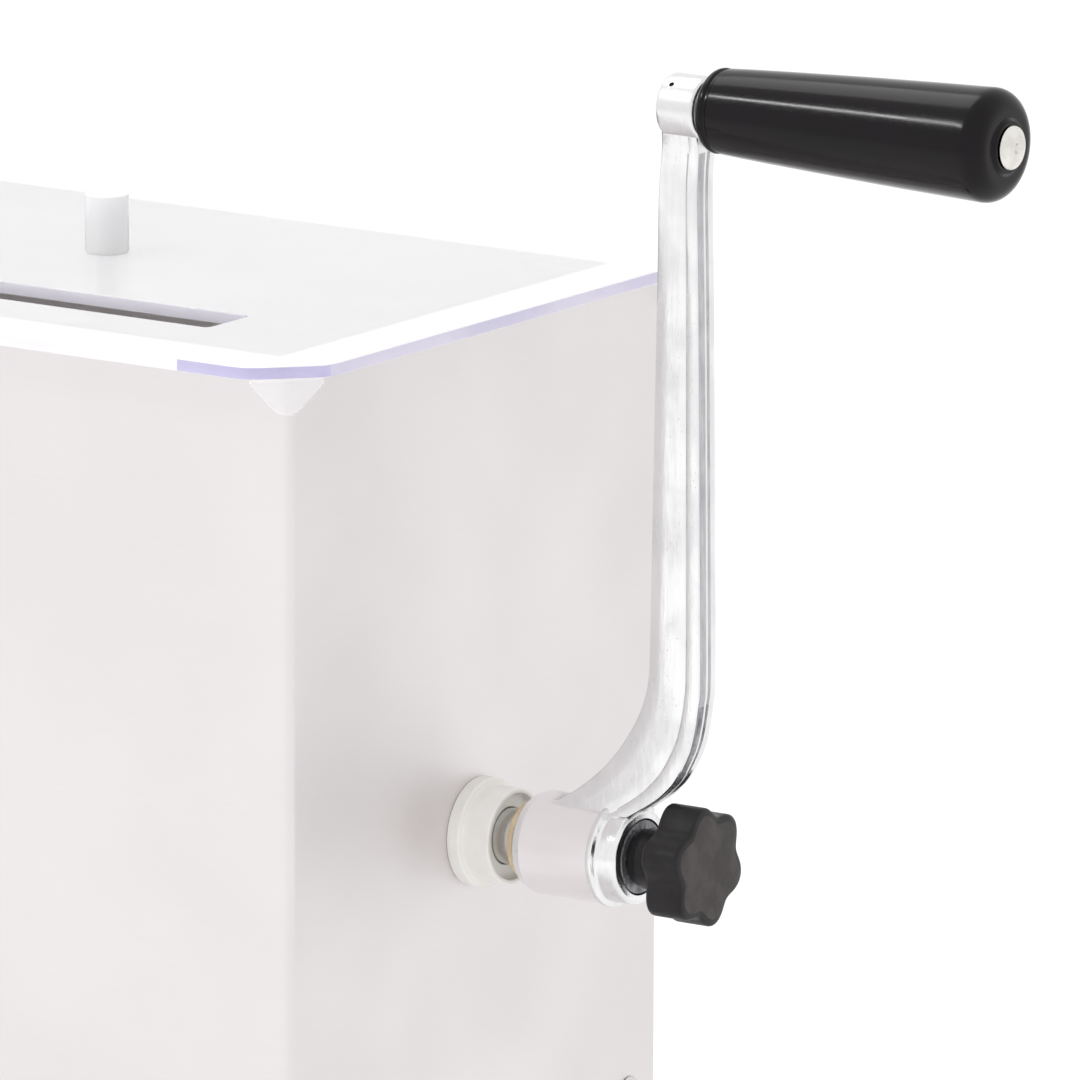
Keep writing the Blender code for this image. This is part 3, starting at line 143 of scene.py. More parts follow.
# each finish: its two tones, its gloss from smooth to dull, and the strength of each effect;
# a turned finish gives the height of its axis and how fine its lines are
finishes = {
    "satinSteel": dict(
        light=(0.794, 0.762, 0.765), dark=(0.758, 0.728, 0.731), gloss=(0.44, 0.56), metal=1,
        cloud=7, streak=((2, 2, 60), 30), pit=(900, 0.16), depth=0.00003, marks=0.18),
    "castMetal": dict(
        light=(0.855, 0.855, 0.855), dark=(0.735, 0.735, 0.745), gloss=(0.10, 0.30), metal=1,
        cloud=55, streak=((14, 14, 1.6), 40), pit=(420, 0.17), depth=0.00010, marks=0.38),
    # painted shade and painted dark reflection on the arm's inner edge, cast line and sunk land
    "castPaintedShade": dict(
        light=(0.60, 0.60, 0.62), dark=(0.42, 0.42, 0.44), gloss=(0.3, 0.5), metal=1,
        cloud=90, streak=((12, 12, 1.4), 55), pit=(1100, 0.35), depth=0.0002, marks=0.7),
    # painted deep shade for the bend's groove, the hub's recess, the bores and the washer sunk in the recess
    "castPaintedDeepShade": dict(
        light=(0.50, 0.50, 0.52), dark=(0.16, 0.16, 0.175), gloss=(0.32, 0.6), metal=1,
        cloud=140, streak=((8, 8, 2), 60), pit=(1300, 0.5), depth=0.00035, marks=0.9),
    "machinedHub": dict(
        light=(0.97, 0.95, 0.96), dark=(0.90, 0.875, 0.885), gloss=(0.18, 0.30), metal=1,
        cloud=40, turned=(axisZ, 5200), pit=(600, 0.12), depth=0.000004, marks=0.45),
    "brightSteel": dict(
        light=(0.78, 0.775, 0.76), dark=(0.64, 0.635, 0.62), gloss=(0.16, 0.30), metal=1,
        cloud=60, turned=(axisZ, 6500), pit=(900, 0.14), depth=0.000006, marks=0.4),
    "pinSteel": dict(
        light=(0.84, 0.82, 0.78), dark=(0.66, 0.64, 0.60), gloss=(0.2, 0.36), metal=1,
        cloud=180, turned=(gripZ, 5200), pit=(1200, 0.2), depth=0.000008, marks=0.5),
    "brass": dict(
        light=(0.80, 0.66, 0.47), dark=(0.62, 0.49, 0.32), gloss=(0.18, 0.32), metal=1,
        cloud=90, turned=(axisZ, 6000), pit=(900, 0.15), depth=0.000006, marks=0.4),
    "gripPlastic": dict(
        light=(0.0034, 0.0016, 0.0030), dark=(0.0018, 0.0008, 0.0016), gloss=(0.10, 0.18), metal=0,
        sheen=0.215, cloud=50, streak=((1.5, 9, 9), 90), pit=(2200, 0.35), depth=0.00002, marks=0.35),
    # the knob's flat face: the same black plastic painted paler, a painted sheen
    "knobFacePaintedSheen": dict(
        light=(0.056, 0.048, 0.046), dark=(0.036, 0.031, 0.030), gloss=(0.42, 0.55), metal=0,
        sheen=0.28, cloud=120, streak=((6, 6, 6), 90), pit=(2600, 0.5), depth=0.00005, marks=0.4),
    "knobPlastic": dict(
        light=(0.016, 0.014, 0.016), dark=(0.009, 0.008, 0.009), gloss=(0.32, 0.46), metal=0,
        sheen=0.26, cloud=90, streak=((6, 6, 6), 90), pit=(2600, 0.5), depth=0.00004, marks=0.4),
    "bushPlastic": dict(
        light=(0.84, 0.825, 0.80), dark=(0.78, 0.76, 0.72), gloss=(0.34, 0.46), metal=0,
        cloud=60, turned=(axisZ, 3000), pit=(1500, 0.3), depth=0.000008, marks=0.3),
    "rubber": dict(
        light=(0.036, 0.035, 0.034), dark=(0.020, 0.020, 0.019), gloss=(0.62, 0.8), metal=0,
        cloud=60, streak=((5, 5, 5), 120), pit=(1600, 0.5), depth=0.00006, marks=0.6),
    "floorPaper": dict(
        light=(0.98, 0.98, 0.98), dark=(0.97, 0.97, 0.97), gloss=(0.8, 0.9), metal=0,
        cloud=1.5, streak=((1, 1, 1), 20), pit=(120, 0.3), depth=0.0001, marks=0.1),
}


def startFinish(name):
    made = bpy.data.materials.new(name)
    made.use_nodes = True
    tree = made.node_tree
    places = addNode(tree, "ShaderNodeTexCoord").outputs["Object"]
    return made, tree, tree.nodes["Principled BSDF"], places


def placeGroup(tree, places, group, values):
    node = addNode(tree, "ShaderNodeGroup", node_tree=group)
    for label, value in values.items():
        node.inputs[label].default_value = value
    tree.links.new(places, node.inputs["Coordinates"])
    return node.outputs[0]


def placeStreaks(tree, places, look):
    return placeGroup(tree, places, streaks, {"Stretch": look["streak"][0], "Scale": look["streak"][1]})


def dressShader(tree, shader, look, tone, shine, shineRange, relief, strength):
    # tone blends the two colours, shine spreads over the gloss range, relief lifts the surface
    tones = addNode(tree, "ShaderNodeMix", {"A": (*look["dark"], 1), "B": (*look["light"], 1)},
                    data_type="RGBA")
    gloss = addNode(tree, "ShaderNodeMapRange", {"To Min": shineRange[0], "To Max": shineRange[1]})
    bump = addNode(tree, "ShaderNodeBump", {"Strength": strength, "Distance": look["depth"]})
    join(tree, (tone, tones.inputs["Factor"]), (tones.outputs["Result"], shader.inputs["Base Color"]),
         (shine, gloss.inputs["Value"]), (gloss.outputs["Result"], shader.inputs["Roughness"]),
         (relief, bump.inputs["Height"]), (bump.outputs["Normal"], shader.inputs["Normal"]))


def makeFinish(name, look):
    made, tree, shader, places = startFinish(name)
    shader.inputs["Metallic"].default_value = look["metal"]
    shader.inputs["Specular IOR Level"].default_value = look.get("sheen", 0.5)
    patches = placeGroup(tree, places, clouds, {"Scale": look["cloud"]})
    if "turned" in look:
        height, lines = look["turned"]
        lined = placeGroup(tree, places, turning, {"Axis Point": (0, 0, height), "Lines": lines})
    else:
        lined = placeStreaks(tree, places, look)
    dots = placeGroup(tree, places, pits, {"Scale": look["pit"][0], "Size": look["pit"][1]})
    blend = addNode(tree, "ShaderNodeMix", {"Factor": look["marks"]})  # patches with a share of the lines
    relief = addNode(tree, "ShaderNodeMath", operation="SUBTRACT")
    join(tree, (patches, blend.inputs["A"]), (lined, blend.inputs["B"]),
         (blend.outputs["Result"], relief.inputs[0]), (dots, relief.inputs[1]))
    dressShader(tree, shader, look, blend.outputs["Result"], blend.outputs["Result"],
                look["gloss"][::-1], relief.outputs[0], 0.6)
    return made


finish = {name: makeFinish(name, look) for name, look in finishes.items()}

# clear sheet, its cut edges and the clear mouldings: tones, gloss, share of light let through,
# and the refractive index
acrylics = {
    "clearSheet": dict(light=(0.955, 0.95, 0.965), dark=(0.93, 0.925, 0.945), gloss=(0.03, 0.09),
                       through=0.38, index=1.49, cloud=9, streak=((3, 3, 3), 40), depth=0.00001),
    # cut edges: darker lilac painted shade at the corners and ends, a pale painted light along the long
    # sides
    "cutCornerShade": dict(light=(0.56, 0.53, 0.78), dark=(0.50, 0.47, 0.72), gloss=(0.10, 0.22),
                      through=0.25, index=1.49, cloud=30, streak=((1, 1, 12), 90), depth=0.00002),
    "cutEndShade": dict(light=(0.70, 0.67, 0.82), dark=(0.60, 0.57, 0.75), gloss=(0.10, 0.22),
                   through=0.3, index=1.49, cloud=30, streak=((1, 1, 12), 90), depth=0.00002),
    "cutFrontLit": dict(light=(0.92, 0.90, 0.99), dark=(0.87, 0.85, 0.96), gloss=(0.06, 0.16),
                     through=0.12, index=1.49, cloud=30, streak=((1, 1, 12), 90), depth=0.00002),
    "clearMoulding": dict(light=(0.985, 0.98, 0.99), dark=(0.96, 0.955, 0.97), gloss=(0.02, 0.06),
                          through=0.66, index=1.28, cloud=60, streak=((2, 2, 8), 80), depth=0.00001),
    "clearRod": dict(light=(0.99, 0.985, 0.995), dark=(0.97, 0.965, 0.98), gloss=(0.03, 0.08),
                     through=0.10, index=1.20, cloud=60, streak=((2, 2, 8), 80), depth=0.00001),
}
lightPassed = 0.8  # how much light, shadow and reflection go straight through the clear plastic


def makeAcrylic(name, look):
    made, tree, shader, places = startFinish(name)
    shader.inputs["Metallic"].default_value = 0
    shader.inputs["Transmission Weight"].default_value = look["through"]
    shader.inputs["IOR"].default_value = look["index"]
    rays = addNode(tree, "ShaderNodeLightPath").outputs
    either = addNode(tree, "ShaderNodeMath", operation="MAXIMUM")
    anyRay = addNode(tree, "ShaderNodeMath", operation="MAXIMUM")
    passing = addNode(tree, "ShaderNodeMath", {1: lightPassed}, operation="MULTIPLY")
    clear = addNode(tree, "ShaderNodeBsdfTransparent")
    surface = addNode(tree, "ShaderNodeMixShader")
    join(tree, (rays["Is Shadow Ray"], either.inputs[0]), (rays["Is Diffuse Ray"], either.inputs[1]),
         (either.outputs[0], anyRay.inputs[0]), (rays["Is Glossy Ray"], anyRay.inputs[1]),
         (anyRay.outputs[0], passing.inputs[0]), (passing.outputs[0], surface.inputs["Fac"]),
         (shader.outputs["BSDF"], surface.inputs[1]), (clear.outputs["BSDF"], surface.inputs[2]),
         (surface.outputs[0], tree.nodes["Material Output"].inputs["Surface"]))
    patches = placeGroup(tree, places, clouds, {"Scale": look["cloud"]})
    lines = placeStreaks(tree, places, look)
    dressShader(tree, shader, look, patches, lines, look["gloss"], lines, 0.4)
    return made


finish.update({name: makeAcrylic(name, look) for name, look in acrylics.items()})
print("finishes made:", len(finish))


def setFinishes(mesh, finishNames):
    mesh.materials.clear()
    for finishName in finishNames:
        mesh.materials.append(finish[finishName])


def shadeSmooth(mesh, sharpAngle=38):
    mesh.shade_smooth()
    mesh.set_sharp_from_angle(angle=radians(sharpAngle))


def cleanMesh(mesh, shadeEdgesByFacing=False):  # joins doubled points and turns all faces outwards
    form = bmesh.new()
    form.from_mesh(mesh)
    bmesh.ops.remove_doubles(form, verts=form.verts, dist=0.000002)
    bmesh.ops.recalc_face_normals(form, faces=form.faces)
    if shadeEdgesByFacing:  # a sheet's cut edges get painted shade at the corners and ends and painted light along the long sides, by the way they face
        for face in form.faces:
            across, along = abs(face.normal.x), abs(face.normal.y)
            if abs(face.normal.z) < 0.5:
                face.material_index = 3 if along > 0.96 else 2 if across > 0.96 else 1
    form.to_mesh(mesh)
    form.free()


def makeMesh(name, points, faces, finishNames, indices=None, sharpAngle=38):
    mesh = bpy.data.meshes.new(name)
    mesh.from_pydata([tuple(point) for point in points], [], faces)
    setFinishes(mesh, finishNames)
    if indices:
        mesh.polygons.foreach_set("material_index", indices)
    cleanMesh(mesh)
    shadeSmooth(mesh, sharpAngle)
    return mesh


def addPiece(name, mesh, body, slotName, *nodes):
    piece = bpy.data.objects.new(name, mesh)
    bpy.context.scene.collection.objects.link(piece)
    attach(piece, body)
    if nodes:
        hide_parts(*nodes)
    return piece


def dressNode(node, finishName):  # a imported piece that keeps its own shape
    setFinishes(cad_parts[node].data, [finishName])


def circle(radius, sides, middleY=0):
    return [(radius * cos(2 * pi * side / sides), middleY + radius * sin(2 * pi * side / sides))
            for side in range(sides)]


def roundCorners(corners, steps=5, closed=True):  # (x, y, radius) corners become arcs
    outline = []
    last = len(corners) - 1
    for index, (x, y, radius) in enumerate(corners):
        if radius == 0 or (not closed and index in (0, last)):
            outline.append((x, y))
            continue
        corner = Vector((x, y))
        before = (Vector(corners[index - 1][:2]) - corner).normalized()
        after = (Vector(corners[(index + 1) % len(corners)][:2]) - corner).normalized()
        half = before.angle(after) / 2
        centre = corner + (before + after).normalized() * (radius / sin(half))
        first = corner + before * (radius / tan(half)) - centre
        final = corner + after * (radius / tan(half)) - centre
        sweep = atan2(first.x * final.y - first.y * final.x, first.dot(final))
        for step in range(steps + 1):
            spot = centre + Matrix.Rotation(sweep * step / steps, 2) @ first
            outline.append((spot.x, spot.y))
    return outline


def turnProfile(name, profile, base, axis, finishNames, sides=96, ring=False, bands=None, sharpAngle=38):
    # profile holds (along, radius) pairs; bands gives each stretch its finish number
    axis = Vector(axis).normalized()
    side = axis.orthogonal().normalized()
    other = axis.cross(side)
    base = Vector(base)
    points, rows = [], []
    for along, radius in profile:
        centre = base + axis * along
        if radius < 0.000001:
            rows.append([len(points)])
            points.append(centre)
            continue
        rows.append(list(range(len(points), len(points) + sides)))
        for step in range(sides):
            turn = 2 * pi * step / sides
            points.append(centre + (side * cos(turn) + other * sin(turn)) * radius)
    faces, indices = [], []
    pairs = list(zip(rows, rows[1:])) + ([(rows[-1], rows[0])] if ring else [])
    for number, (low, high) in enumerate(pairs):
        for step in range(sides):
            after = (step + 1) % sides
            if len(low) == 1 and len(high) == 1:
                continue
            if len(low) == 1:
                faces.append((low[0], high[after], high[step]))
            elif len(high) == 1:
                faces.append((low[step], low[after], high[0]))
            else:
                faces.append((low[step], low[after], high[after], high[step]))
            indices.append(bands[number] if bands else 0)
    return makeMesh(name, points, faces, finishNames, indices, sharpAngle)


def makePlug(name, start, end, radius, base, axis, finishNames, sides, band=0):  # drills a hole
    return turnProfile(name, [(start, 0), (start, radius), (end, radius), (end, 0)], base, axis,
                       finishNames, sides, bands=[band] * 3)


def takeShape(source):  # the mesh of an object as its settings and modifiers leave it
    bpy.context.view_layer.update()
    return bpy.data.meshes.new_from_object(source.evaluated_get(bpy.context.evaluated_depsgraph_get()))


def cutSheet(name, outlines, thickness, edge, place, finishNames):
    # a flat sheet with softened edges, filled between its outlines; place is a 4x4 matrix
    curve = bpy.data.curves.new(name, "CURVE")
    curve.dimensions = "2D"
    curve.fill_mode = "BOTH"
    curve.extrude = thickness / 2 - edge
    curve.bevel_depth = edge
    curve.bevel_resolution = 2
    curve.offset = -edge
    for outline in outlines:
        spline = curve.splines.new("POLY")
        spline.points.add(len(outline) - 1)
        spline.use_cyclic_u = True
        for point, (x, y) in zip(spline.points, outline):
            point.co = (x, y, 0, 1)
    guide = bpy.data.objects.new(name + "Guide", curve)
    bpy.context.scene.collection.objects.link(guide)
    mesh = takeShape(guide)
    bpy.data.objects.remove(guide, do_unlink=True)
    bpy.data.curves.remove(curve)
    mesh.name = name
    setFinishes(mesh, finishNames)
    cleanMesh(mesh, shadeEdgesByFacing=len(finishNames) > 1)
    shadeSmooth(mesh, 50)
    for face in mesh.polygons:  # keeps the broad sides free of shading from the softened edges
        face.use_smooth = abs(face.normal.z) < 0.9999
    mesh.transform(place)
    return mesh


def shapeWith(mesh, tools, operation):  # adds or cuts solid meshes, one after another
    base = bpy.data.objects.new("shapeBase", mesh)
    bpy.context.scene.collection.objects.link(base)
    helpers = [base]
    for tool in tools:
        helper = bpy.data.objects.new("shapeTool", tool)
        bpy.context.scene.collection.objects.link(helper)
        helpers.append(helper)
        modifier = base.modifiers.new("shape", "BOOLEAN")
        modifier.operation = operation
        modifier.solver = "EXACT"
        modifier.object = helper
    shaped = takeShape(base)
    for helper in helpers:
        bpy.data.objects.remove(helper, do_unlink=True)
    shaped.name = mesh.name
    return shaped


def smoothPath(points, spot):  # a smooth curve through the points, spot from 0 to their number less one
    index = min(int(spot), len(points) - 2)
    share = spot - index
    before = points[max(index - 1, 0)]
    first, second = points[index], points[index + 1]
    after = points[min(index + 2, len(points) - 1)]
    return tuple(
        0.5 * (2 * b + (c - a) * share + (2 * a - 5 * b + 4 * c - d) * share ** 2
               + (3 * b - a - 3 * c + d) * share ** 3)
        for a, b, c, d in zip(before, first, second, after))


tank = dict(bend=0.003, leastBend=0.0004, hem=0.012, sheet=0.0012, bendSteps=8, hemRound=0.0009,
            hemSteps=4, bushOpening=0.0128, openingReach=0.004)
trough = dict(arcSteps=64)


def rimLoop(inset, height):  # a rounded rectangle round the tank's middle
    halfX = (faceX - farX) / 2 - inset
    halfY = (tankHigh.y - tankLow.y) / 2 - inset
    bend = max(tank["bend"] - inset, tank["leastBend"])
    outline = roundCorners([(halfX, -halfY, bend), (halfX, halfY, bend), (-halfX, halfY, bend),
                            (-halfX, -halfY, bend)], tank["bendSteps"])
    return [Vector((tankX + x, y, height)) for x, y in outline]


def makeTank():  # outside wall, rolled top edge, hem, then back down the inside
    sheet, hem, bend = tank["sheet"], tank["hem"], tank["hemRound"]
    levels = [(0, tankLow.z), (0, rimZ - bend)]
    for step in range(1, tank["hemSteps"] + 1):
        turn = pi / 2 * step / tank["hemSteps"]
        levels.append((bend * (1 - cos(turn)), rimZ - bend * (1 - sin(turn))))
    levels += [(hem, rimZ), (hem, rimZ - sheet), (sheet, rimZ - sheet), (sheet, tankLow.z)]
    loops = [rimLoop(inset, height) for inset, height in levels]
    size = len(loops[0])
    points = [point for loop in loops for point in loop]
    faces = []
    for level in range(len(loops)):
        low = level * size
        high = (level + 1) % len(loops) * size
        for step in range(size):
            after = (step + 1) % size
            faces.append((low + step, low + after, high + after, high + step))
    mesh = makeMesh("tankBody", points, faces, ["satinSteel"], sharpAngle=30)
    reach = tank["openingReach"]
    openings = [makePlug("bushOpening", -reach, reach, tank["bushOpening"], (x, 0, axisZ), alongShaft,
                         ["satinSteel"], 64) for x in (faceX, farX)]
    mesh = shapeWith(mesh, openings, "DIFFERENCE")
    shadeSmooth(mesh, 30)
    addPiece("tankBody", mesh, "stand", "satin_steel", "tank_shell")


def makeTrough():
    low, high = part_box("trough_liner")
    radius = (high.y - low.y) / 2
    inside = radius - tank["sheet"]
    steps = trough["arcSteps"]

    def halfRound(across, reach):  # from one side down and up to the other
        return [(across * reach * cos(pi * step / steps), axisZ - reach * sin(pi * step / steps))
                for step in range(steps + 1)]

    section = [(-radius, high.z), *halfRound(-1, radius), (radius, high.z), (inside, high.z),
               *halfRound(1, inside), (-radius + tank["sheet"], high.z)]
    points = [(x, y, z) for x in (low.x, high.x) for y, z in section]
    size = len(section)
    faces = [(step, (step + 1) % size, size + (step + 1) % size, size + step) for step in range(size)]
    for step in range((size - 2) // 2):  # the sheet's two end edges
        inner = size - 1 - step
        faces.append((step, step + 1, inner - 1, inner))
        faces.append((size + inner, size + inner - 1, size + step + 1, size + step))
    mesh = makeMesh("troughSheet", points, faces, ["satinSteel"], sharpAngle=30)
    addPiece("troughSheet", mesh, "stand", "satin_steel", "trough_liner")


makeTank()
makeTrough()
print("tank and trough made")


foot = dict(flare=0.0015, rings=3, ringDepth=0.0005, ringHalf=0.0006, firstRing=0.72, ringStep=0.22,
            screwHole=0.0030, headHole=0.0050, headDepth=0.006)
rivet = dict(headRise=0.0016, domeSteps=6, offWall=0.0003, shank=0.5, inside=-0.0035, bulge=0.7,
             bulgeEnd=-0.005, cornerReach=0.005)


def makeFoot(number):
    low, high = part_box(f"foot_{number}")
    middle = ((low.x + high.x) / 2, (low.y + high.y) / 2, 0)
    radius = (high.x - low.x) / 2
    height = high.z - low.z
    flare, half = foot["flare"], foot["ringHalf"]
    corners = [(height, foot["screwHole"], 0), (height, radius - flare, 0.0012)]
    for ring in range(foot["rings"]):  # shallow moulded grooves
        along = height * (foot["firstRing"] - foot["ringStep"] * ring)
        out = radius - flare * (along / height)
        corners += [(along + half, out, 0), (along, out - foot["ringDepth"], 0), (along - half, out, 0)]
    corners += [(flare, radius, 0.0008), (0, radius - flare, 0), (0, foot["headHole"], 0),
                (foot["headDepth"], foot["headHole"], 0), (foot["headDepth"], foot["screwHole"], 0)]
    mesh = turnProfile(f"footRubber_{number}", roundCorners(corners, 4), middle, upwards, ["rubber"],
                       56, True)
    addPiece(f"footRubber_{number}", mesh, "stand", "black_rubber", f"foot_{number}")


def makeRivet(number):
    low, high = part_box(f"rivet_{number}")
    centre = (low + high) / 2
    size = high - low
    onEnd = size.x > size.y or abs(centre.x - tankX) > (faceX - farX) / 2 - rivet["cornerReach"]
    if onEnd:
        outwards = alongShaft if centre.x > tankX else -alongShaft
        wall = Vector((faceX if centre.x > tankX else farX, centre.y, centre.z))
        radius = size.y / 2
    else:
        outwards = Vector((0, 1 if centre.y > 0 else -1, 0))
        wall = Vector((centre.x, tankHigh.y if centre.y > 0 else tankLow.y, centre.z))
        radius = size.x / 2
    off, rise, steps = rivet["offWall"], rivet["headRise"], rivet["domeSteps"]
    profile = [(off + rise * 0.7, 0), (off + rise * 0.7, radius * 0.2), (off + rise, radius * 0.24)]
    profile += [(off + rise * cos(pi / 2 * step / steps), radius * sin(pi / 2 * step / steps))
                for step in range(1, steps + 1)]
    profile += [(off, radius * rivet["shank"]), (rivet["inside"], radius * rivet["shank"]),
                (rivet["inside"], radius * rivet["bulge"]), (rivet["bulgeEnd"], radius * 0.6),
                (rivet["bulgeEnd"], 0)]
    mesh = turnProfile(f"blindRivet_{number}", profile, wall, outwards, ["brightSteel"], 40)
    addPiece(f"blindRivet_{number}", mesh, "stand", "bright_steel", f"rivet_{number}")


for number in range(1, 5):
    makeFoot(number)
for number in range(1, 9):
    makeRivet(number)
for number in range(1, 5):
    dressNode(f"leg_{number}", "satinSteel")
    dressNode(f"foot_screw_{number}", "brightSteel")
print("legs, feet and rivets made")

bush = dict(proud=0.0145, radius=0.0156, flange=0.0177, flangeThick=0.004, fillet=0.0008, neck=0.0125,
            inside=0.0105, recess=0.014, recessDepth=0.0026, bore=0.0093, lip=0.0007, offWall=0.00002)
lockRing = dict(bore=0.0128, radius=0.017, top=-0.0015, thick=0.006, notches=6,
                notch=(0.006, 0.0026, 0.0034), notchAt=0.004)
shaft = dict(journal=0.007, journalEdge=0.0006, shoulder=0.0192, shoulderEdge=0.0004, farEdge=0.0009)
collar = dict(bore=0.0093, edge=0.0009, screwHole=0.0033, screwFrom=0.008, screwTo=0.02)


def makeBush(side, x, direction):
    proud, radius, flange, thick = (bush[key] for key in ("proud", "radius", "flange", "flangeThick"))
    seat = proud - bush["recessDepth"]
    corners = [
        (proud, bush["recess"], 0.0003), (proud, radius, bush["lip"]),
        (thick + bush["fillet"], radius, 0.0005), (thick + 0.0006, radius + bush["fillet"], 0),
        (thick + 0.0006, flange, 0.0007), (bush["offWall"], flange, 0.0004),
        (bush["offWall"], bush["neck"], 0), (-bush["inside"], bush["neck"], 0.0005),
        (-bush["inside"], bush["bore"], 0), (seat, bush["bore"], 0.0004), (seat, bush["recess"], 0.0006)]
    mesh = turnProfile(f"{side}Bush", roundCorners(corners, 4), (x, 0, axisZ), direction,
                       ["bushPlastic"], 112, True)
    addPiece(f"{side}Bush", mesh, "stand", "white_plastic", f"{side}_side_bush")


def makeLockRing(side, x, direction):
    top, bore, radius = lockRing["top"], lockRing["bore"], lockRing["radius"]
    bottom = top - lockRing["thick"]
    corners = [(top, bore, 0), (top, radius, 0.0004), (bottom, radius, 0.001), (bottom, bore, 0)]
    mesh = turnProfile(f"{side}BushNut", roundCorners(corners, 4), (x, 0, axisZ), direction,
                       ["bushPlastic"], 80, True)
    notches = []
    for step in range(lockRing["notches"]):  # spanner notches round the ring
        turn = pi / 3 * step
        spot = Vector((x, radius * cos(turn), axisZ + radius * sin(turn)))
        spot += Vector(direction) * (top - lockRing["notchAt"])
        notch = bpy.data.meshes.new("notch")
        form = bmesh.new()
        bmesh.ops.create_cube(form, size=1, matrix=Matrix.Translation(spot) @ Matrix.Rotation(turn, 4, "X")
                              @ Matrix.Diagonal((*lockRing["notch"], 1)))
        form.to_mesh(notch)
        form.free()
        setFinishes(notch, ["bushPlastic"])
        notches.append(notch)
    mesh = shapeWith(mesh, notches, "DIFFERENCE")
    shadeSmooth(mesh)
    addPiece(f"{side}BushNut", mesh, "stand", "white_plastic", f"{side}_side_bush_ring")


def makeShaft():
    low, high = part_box("mixing_shaft")
    thick = (high.y - low.y) / 2
    shoulder = faceX + shaft["shoulder"]
    corners = [(high.x, 0, 0), (high.x, shaft["journal"], shaft["journalEdge"]),
               (shoulder, shaft["journal"], 0), (shoulder, thick, shaft["shoulderEdge"]),
               (low.x, thick, shaft["farEdge"]), (low.x, 0, 0)]
    profile = roundCorners(corners, 4, closed=False)
    mesh = turnProfile("paddleShaft", profile, (0, 0, axisZ), alongShaft, ["brightSteel"], 80)
    addPiece("paddleShaft", mesh, "rotor", "bright_steel", "mixing_shaft")


def makeCollar():
    low, high = collarLow, collarHigh
    radius = (high.z - low.z) / 2
    corners = [(low.x, collar["bore"], 0), (low.x, radius, collar["edge"]),
               (high.x, radius, collar["edge"]), (high.x, collar["bore"], 0)]
    mesh = turnProfile("shaftCollar", roundCorners(corners, 4), (0, 0, axisZ), alongShaft,
                       ["brightSteel"], 80, True)
    hole = makePlug("screwOpening", collar["screwFrom"], collar["screwTo"], collar["screwHole"],
                    ((low.x + high.x) / 2, 0, axisZ), upwards, ["brightSteel"], 32)
    mesh = shapeWith(mesh, [hole], "DIFFERENCE")
    shadeSmooth(mesh)
    addPiece("shaftCollar", mesh, "rotor", "bright_steel", "end_collar")
    dressNode("end_collar_screw", "brightSteel")


for side, x, direction in (("crank", faceX, alongShaft), ("far", farX, -alongShaft)):
    makeBush(side, x, direction)
    makeLockRing(side, x, direction)
makeShaft()
makeCollar()
print("bushes, shaft and collar made")

paddle = dict(count=6, bladeLength=0.062, bladeWidth=0.040, bladeThick=0.003, corner=0.009,
              edge=0.0006, reach=0.097, margin=0.0340205, pitch=30, step=60)
stem = dict(rod=0.004, welded=0.45, tip=0.0012, tipLength=0.004, bead=0.0009, collar=0.0065,
            collarFrom=0.0093, collarTo=0.0123, ridges=7, ridgePitch=0.001, ridgeDepth=0.0005,
            end=0.0163, endIn=0.0008)
lockNut = dict(corner=0.0075, bore=0.0043, thick=0.005, edge=0.0004, along=0.0118)


def stemProfile(low):
    rod, start = stem["rod"], stem["collarFrom"]
    top = low + paddle["bladeLength"] * stem["welded"]
    corners = [(top, 0, 0), (top, rod - stem["tip"], 0.0008), (top - stem["tipLength"], rod, 0.001),
               (low + 0.0012, rod, 0), (low - 0.0006, rod + stem["bead"], 0.0008),
               (low - 0.0022, rod, 0.0004), (stem["collarTo"], rod, 0),
               (stem["collarTo"], stem["collar"], 0.0004), (start, stem["collar"], 0.0004),
               (start, rod, 0)]
    for ridge in range(stem["ridges"]):  # the thread that the nut runs on
        along = -start - stem["ridgePitch"] * ridge
        corners += [(along, rod, 0), (along - stem["ridgeDepth"], rod - stem["ridgeDepth"], 0)]
    corners += [(-stem["end"], rod - stem["endIn"], 0), (-stem["end"], 0, 0)]
    return roundCorners(corners, 3, closed=False)


def makePaddle(number):
    spacing = (faceX - farX - 2 * paddle["margin"]) / (paddle["count"] - 1)
    x = faceX - paddle["margin"] - spacing * (number - 1)
    turn = (Matrix.Translation((x, 0, axisZ))
            @ Matrix.Rotation(radians(paddle["step"]) * (number - 1), 4, "X"))
    reach, corner = paddle["reach"], paddle["corner"]
    low = reach - paddle["bladeLength"]
    half = paddle["bladeWidth"] / 2
    rod = turnProfile("stem", stemProfile(low), (0, 0, 0), upwards, ["brightSteel"], 40)
    outline = roundCorners([(-half, low, corner), (half, low, corner), (half, reach, corner),
                            (-half, reach, corner)], 8)
    stand = Matrix.Rotation(radians(paddle["pitch"]), 4, "Z") @ Matrix.Rotation(pi / 2, 4, "X")
    blade = cutSheet("blade", [outline], paddle["bladeThick"], paddle["edge"], stand, ["brightSteel"])
    mesh = shapeWith(blade, [rod], "UNION")
    mesh.transform(turn)
    shadeSmooth(mesh)
    mesh.name = f"mixingPaddle_{number}"
    addPiece(mesh.name, mesh, "rotor", "bright_steel", f"paddle_{number}")
    mesh = cutSheet(f"paddleLockNut_{number}",
                    [circle(lockNut["corner"], 6), circle(lockNut["bore"], 32)], lockNut["thick"],
                    lockNut["edge"], turn @ Matrix.Translation((0, 0, -lockNut["along"])), ["brightSteel"])
    addPiece(mesh.name, mesh, "rotor", "bright_steel", f"paddle_nut_{number}")


for number in range(1, paddle["count"] + 1):
    makePaddle(number)
print("paddles made")

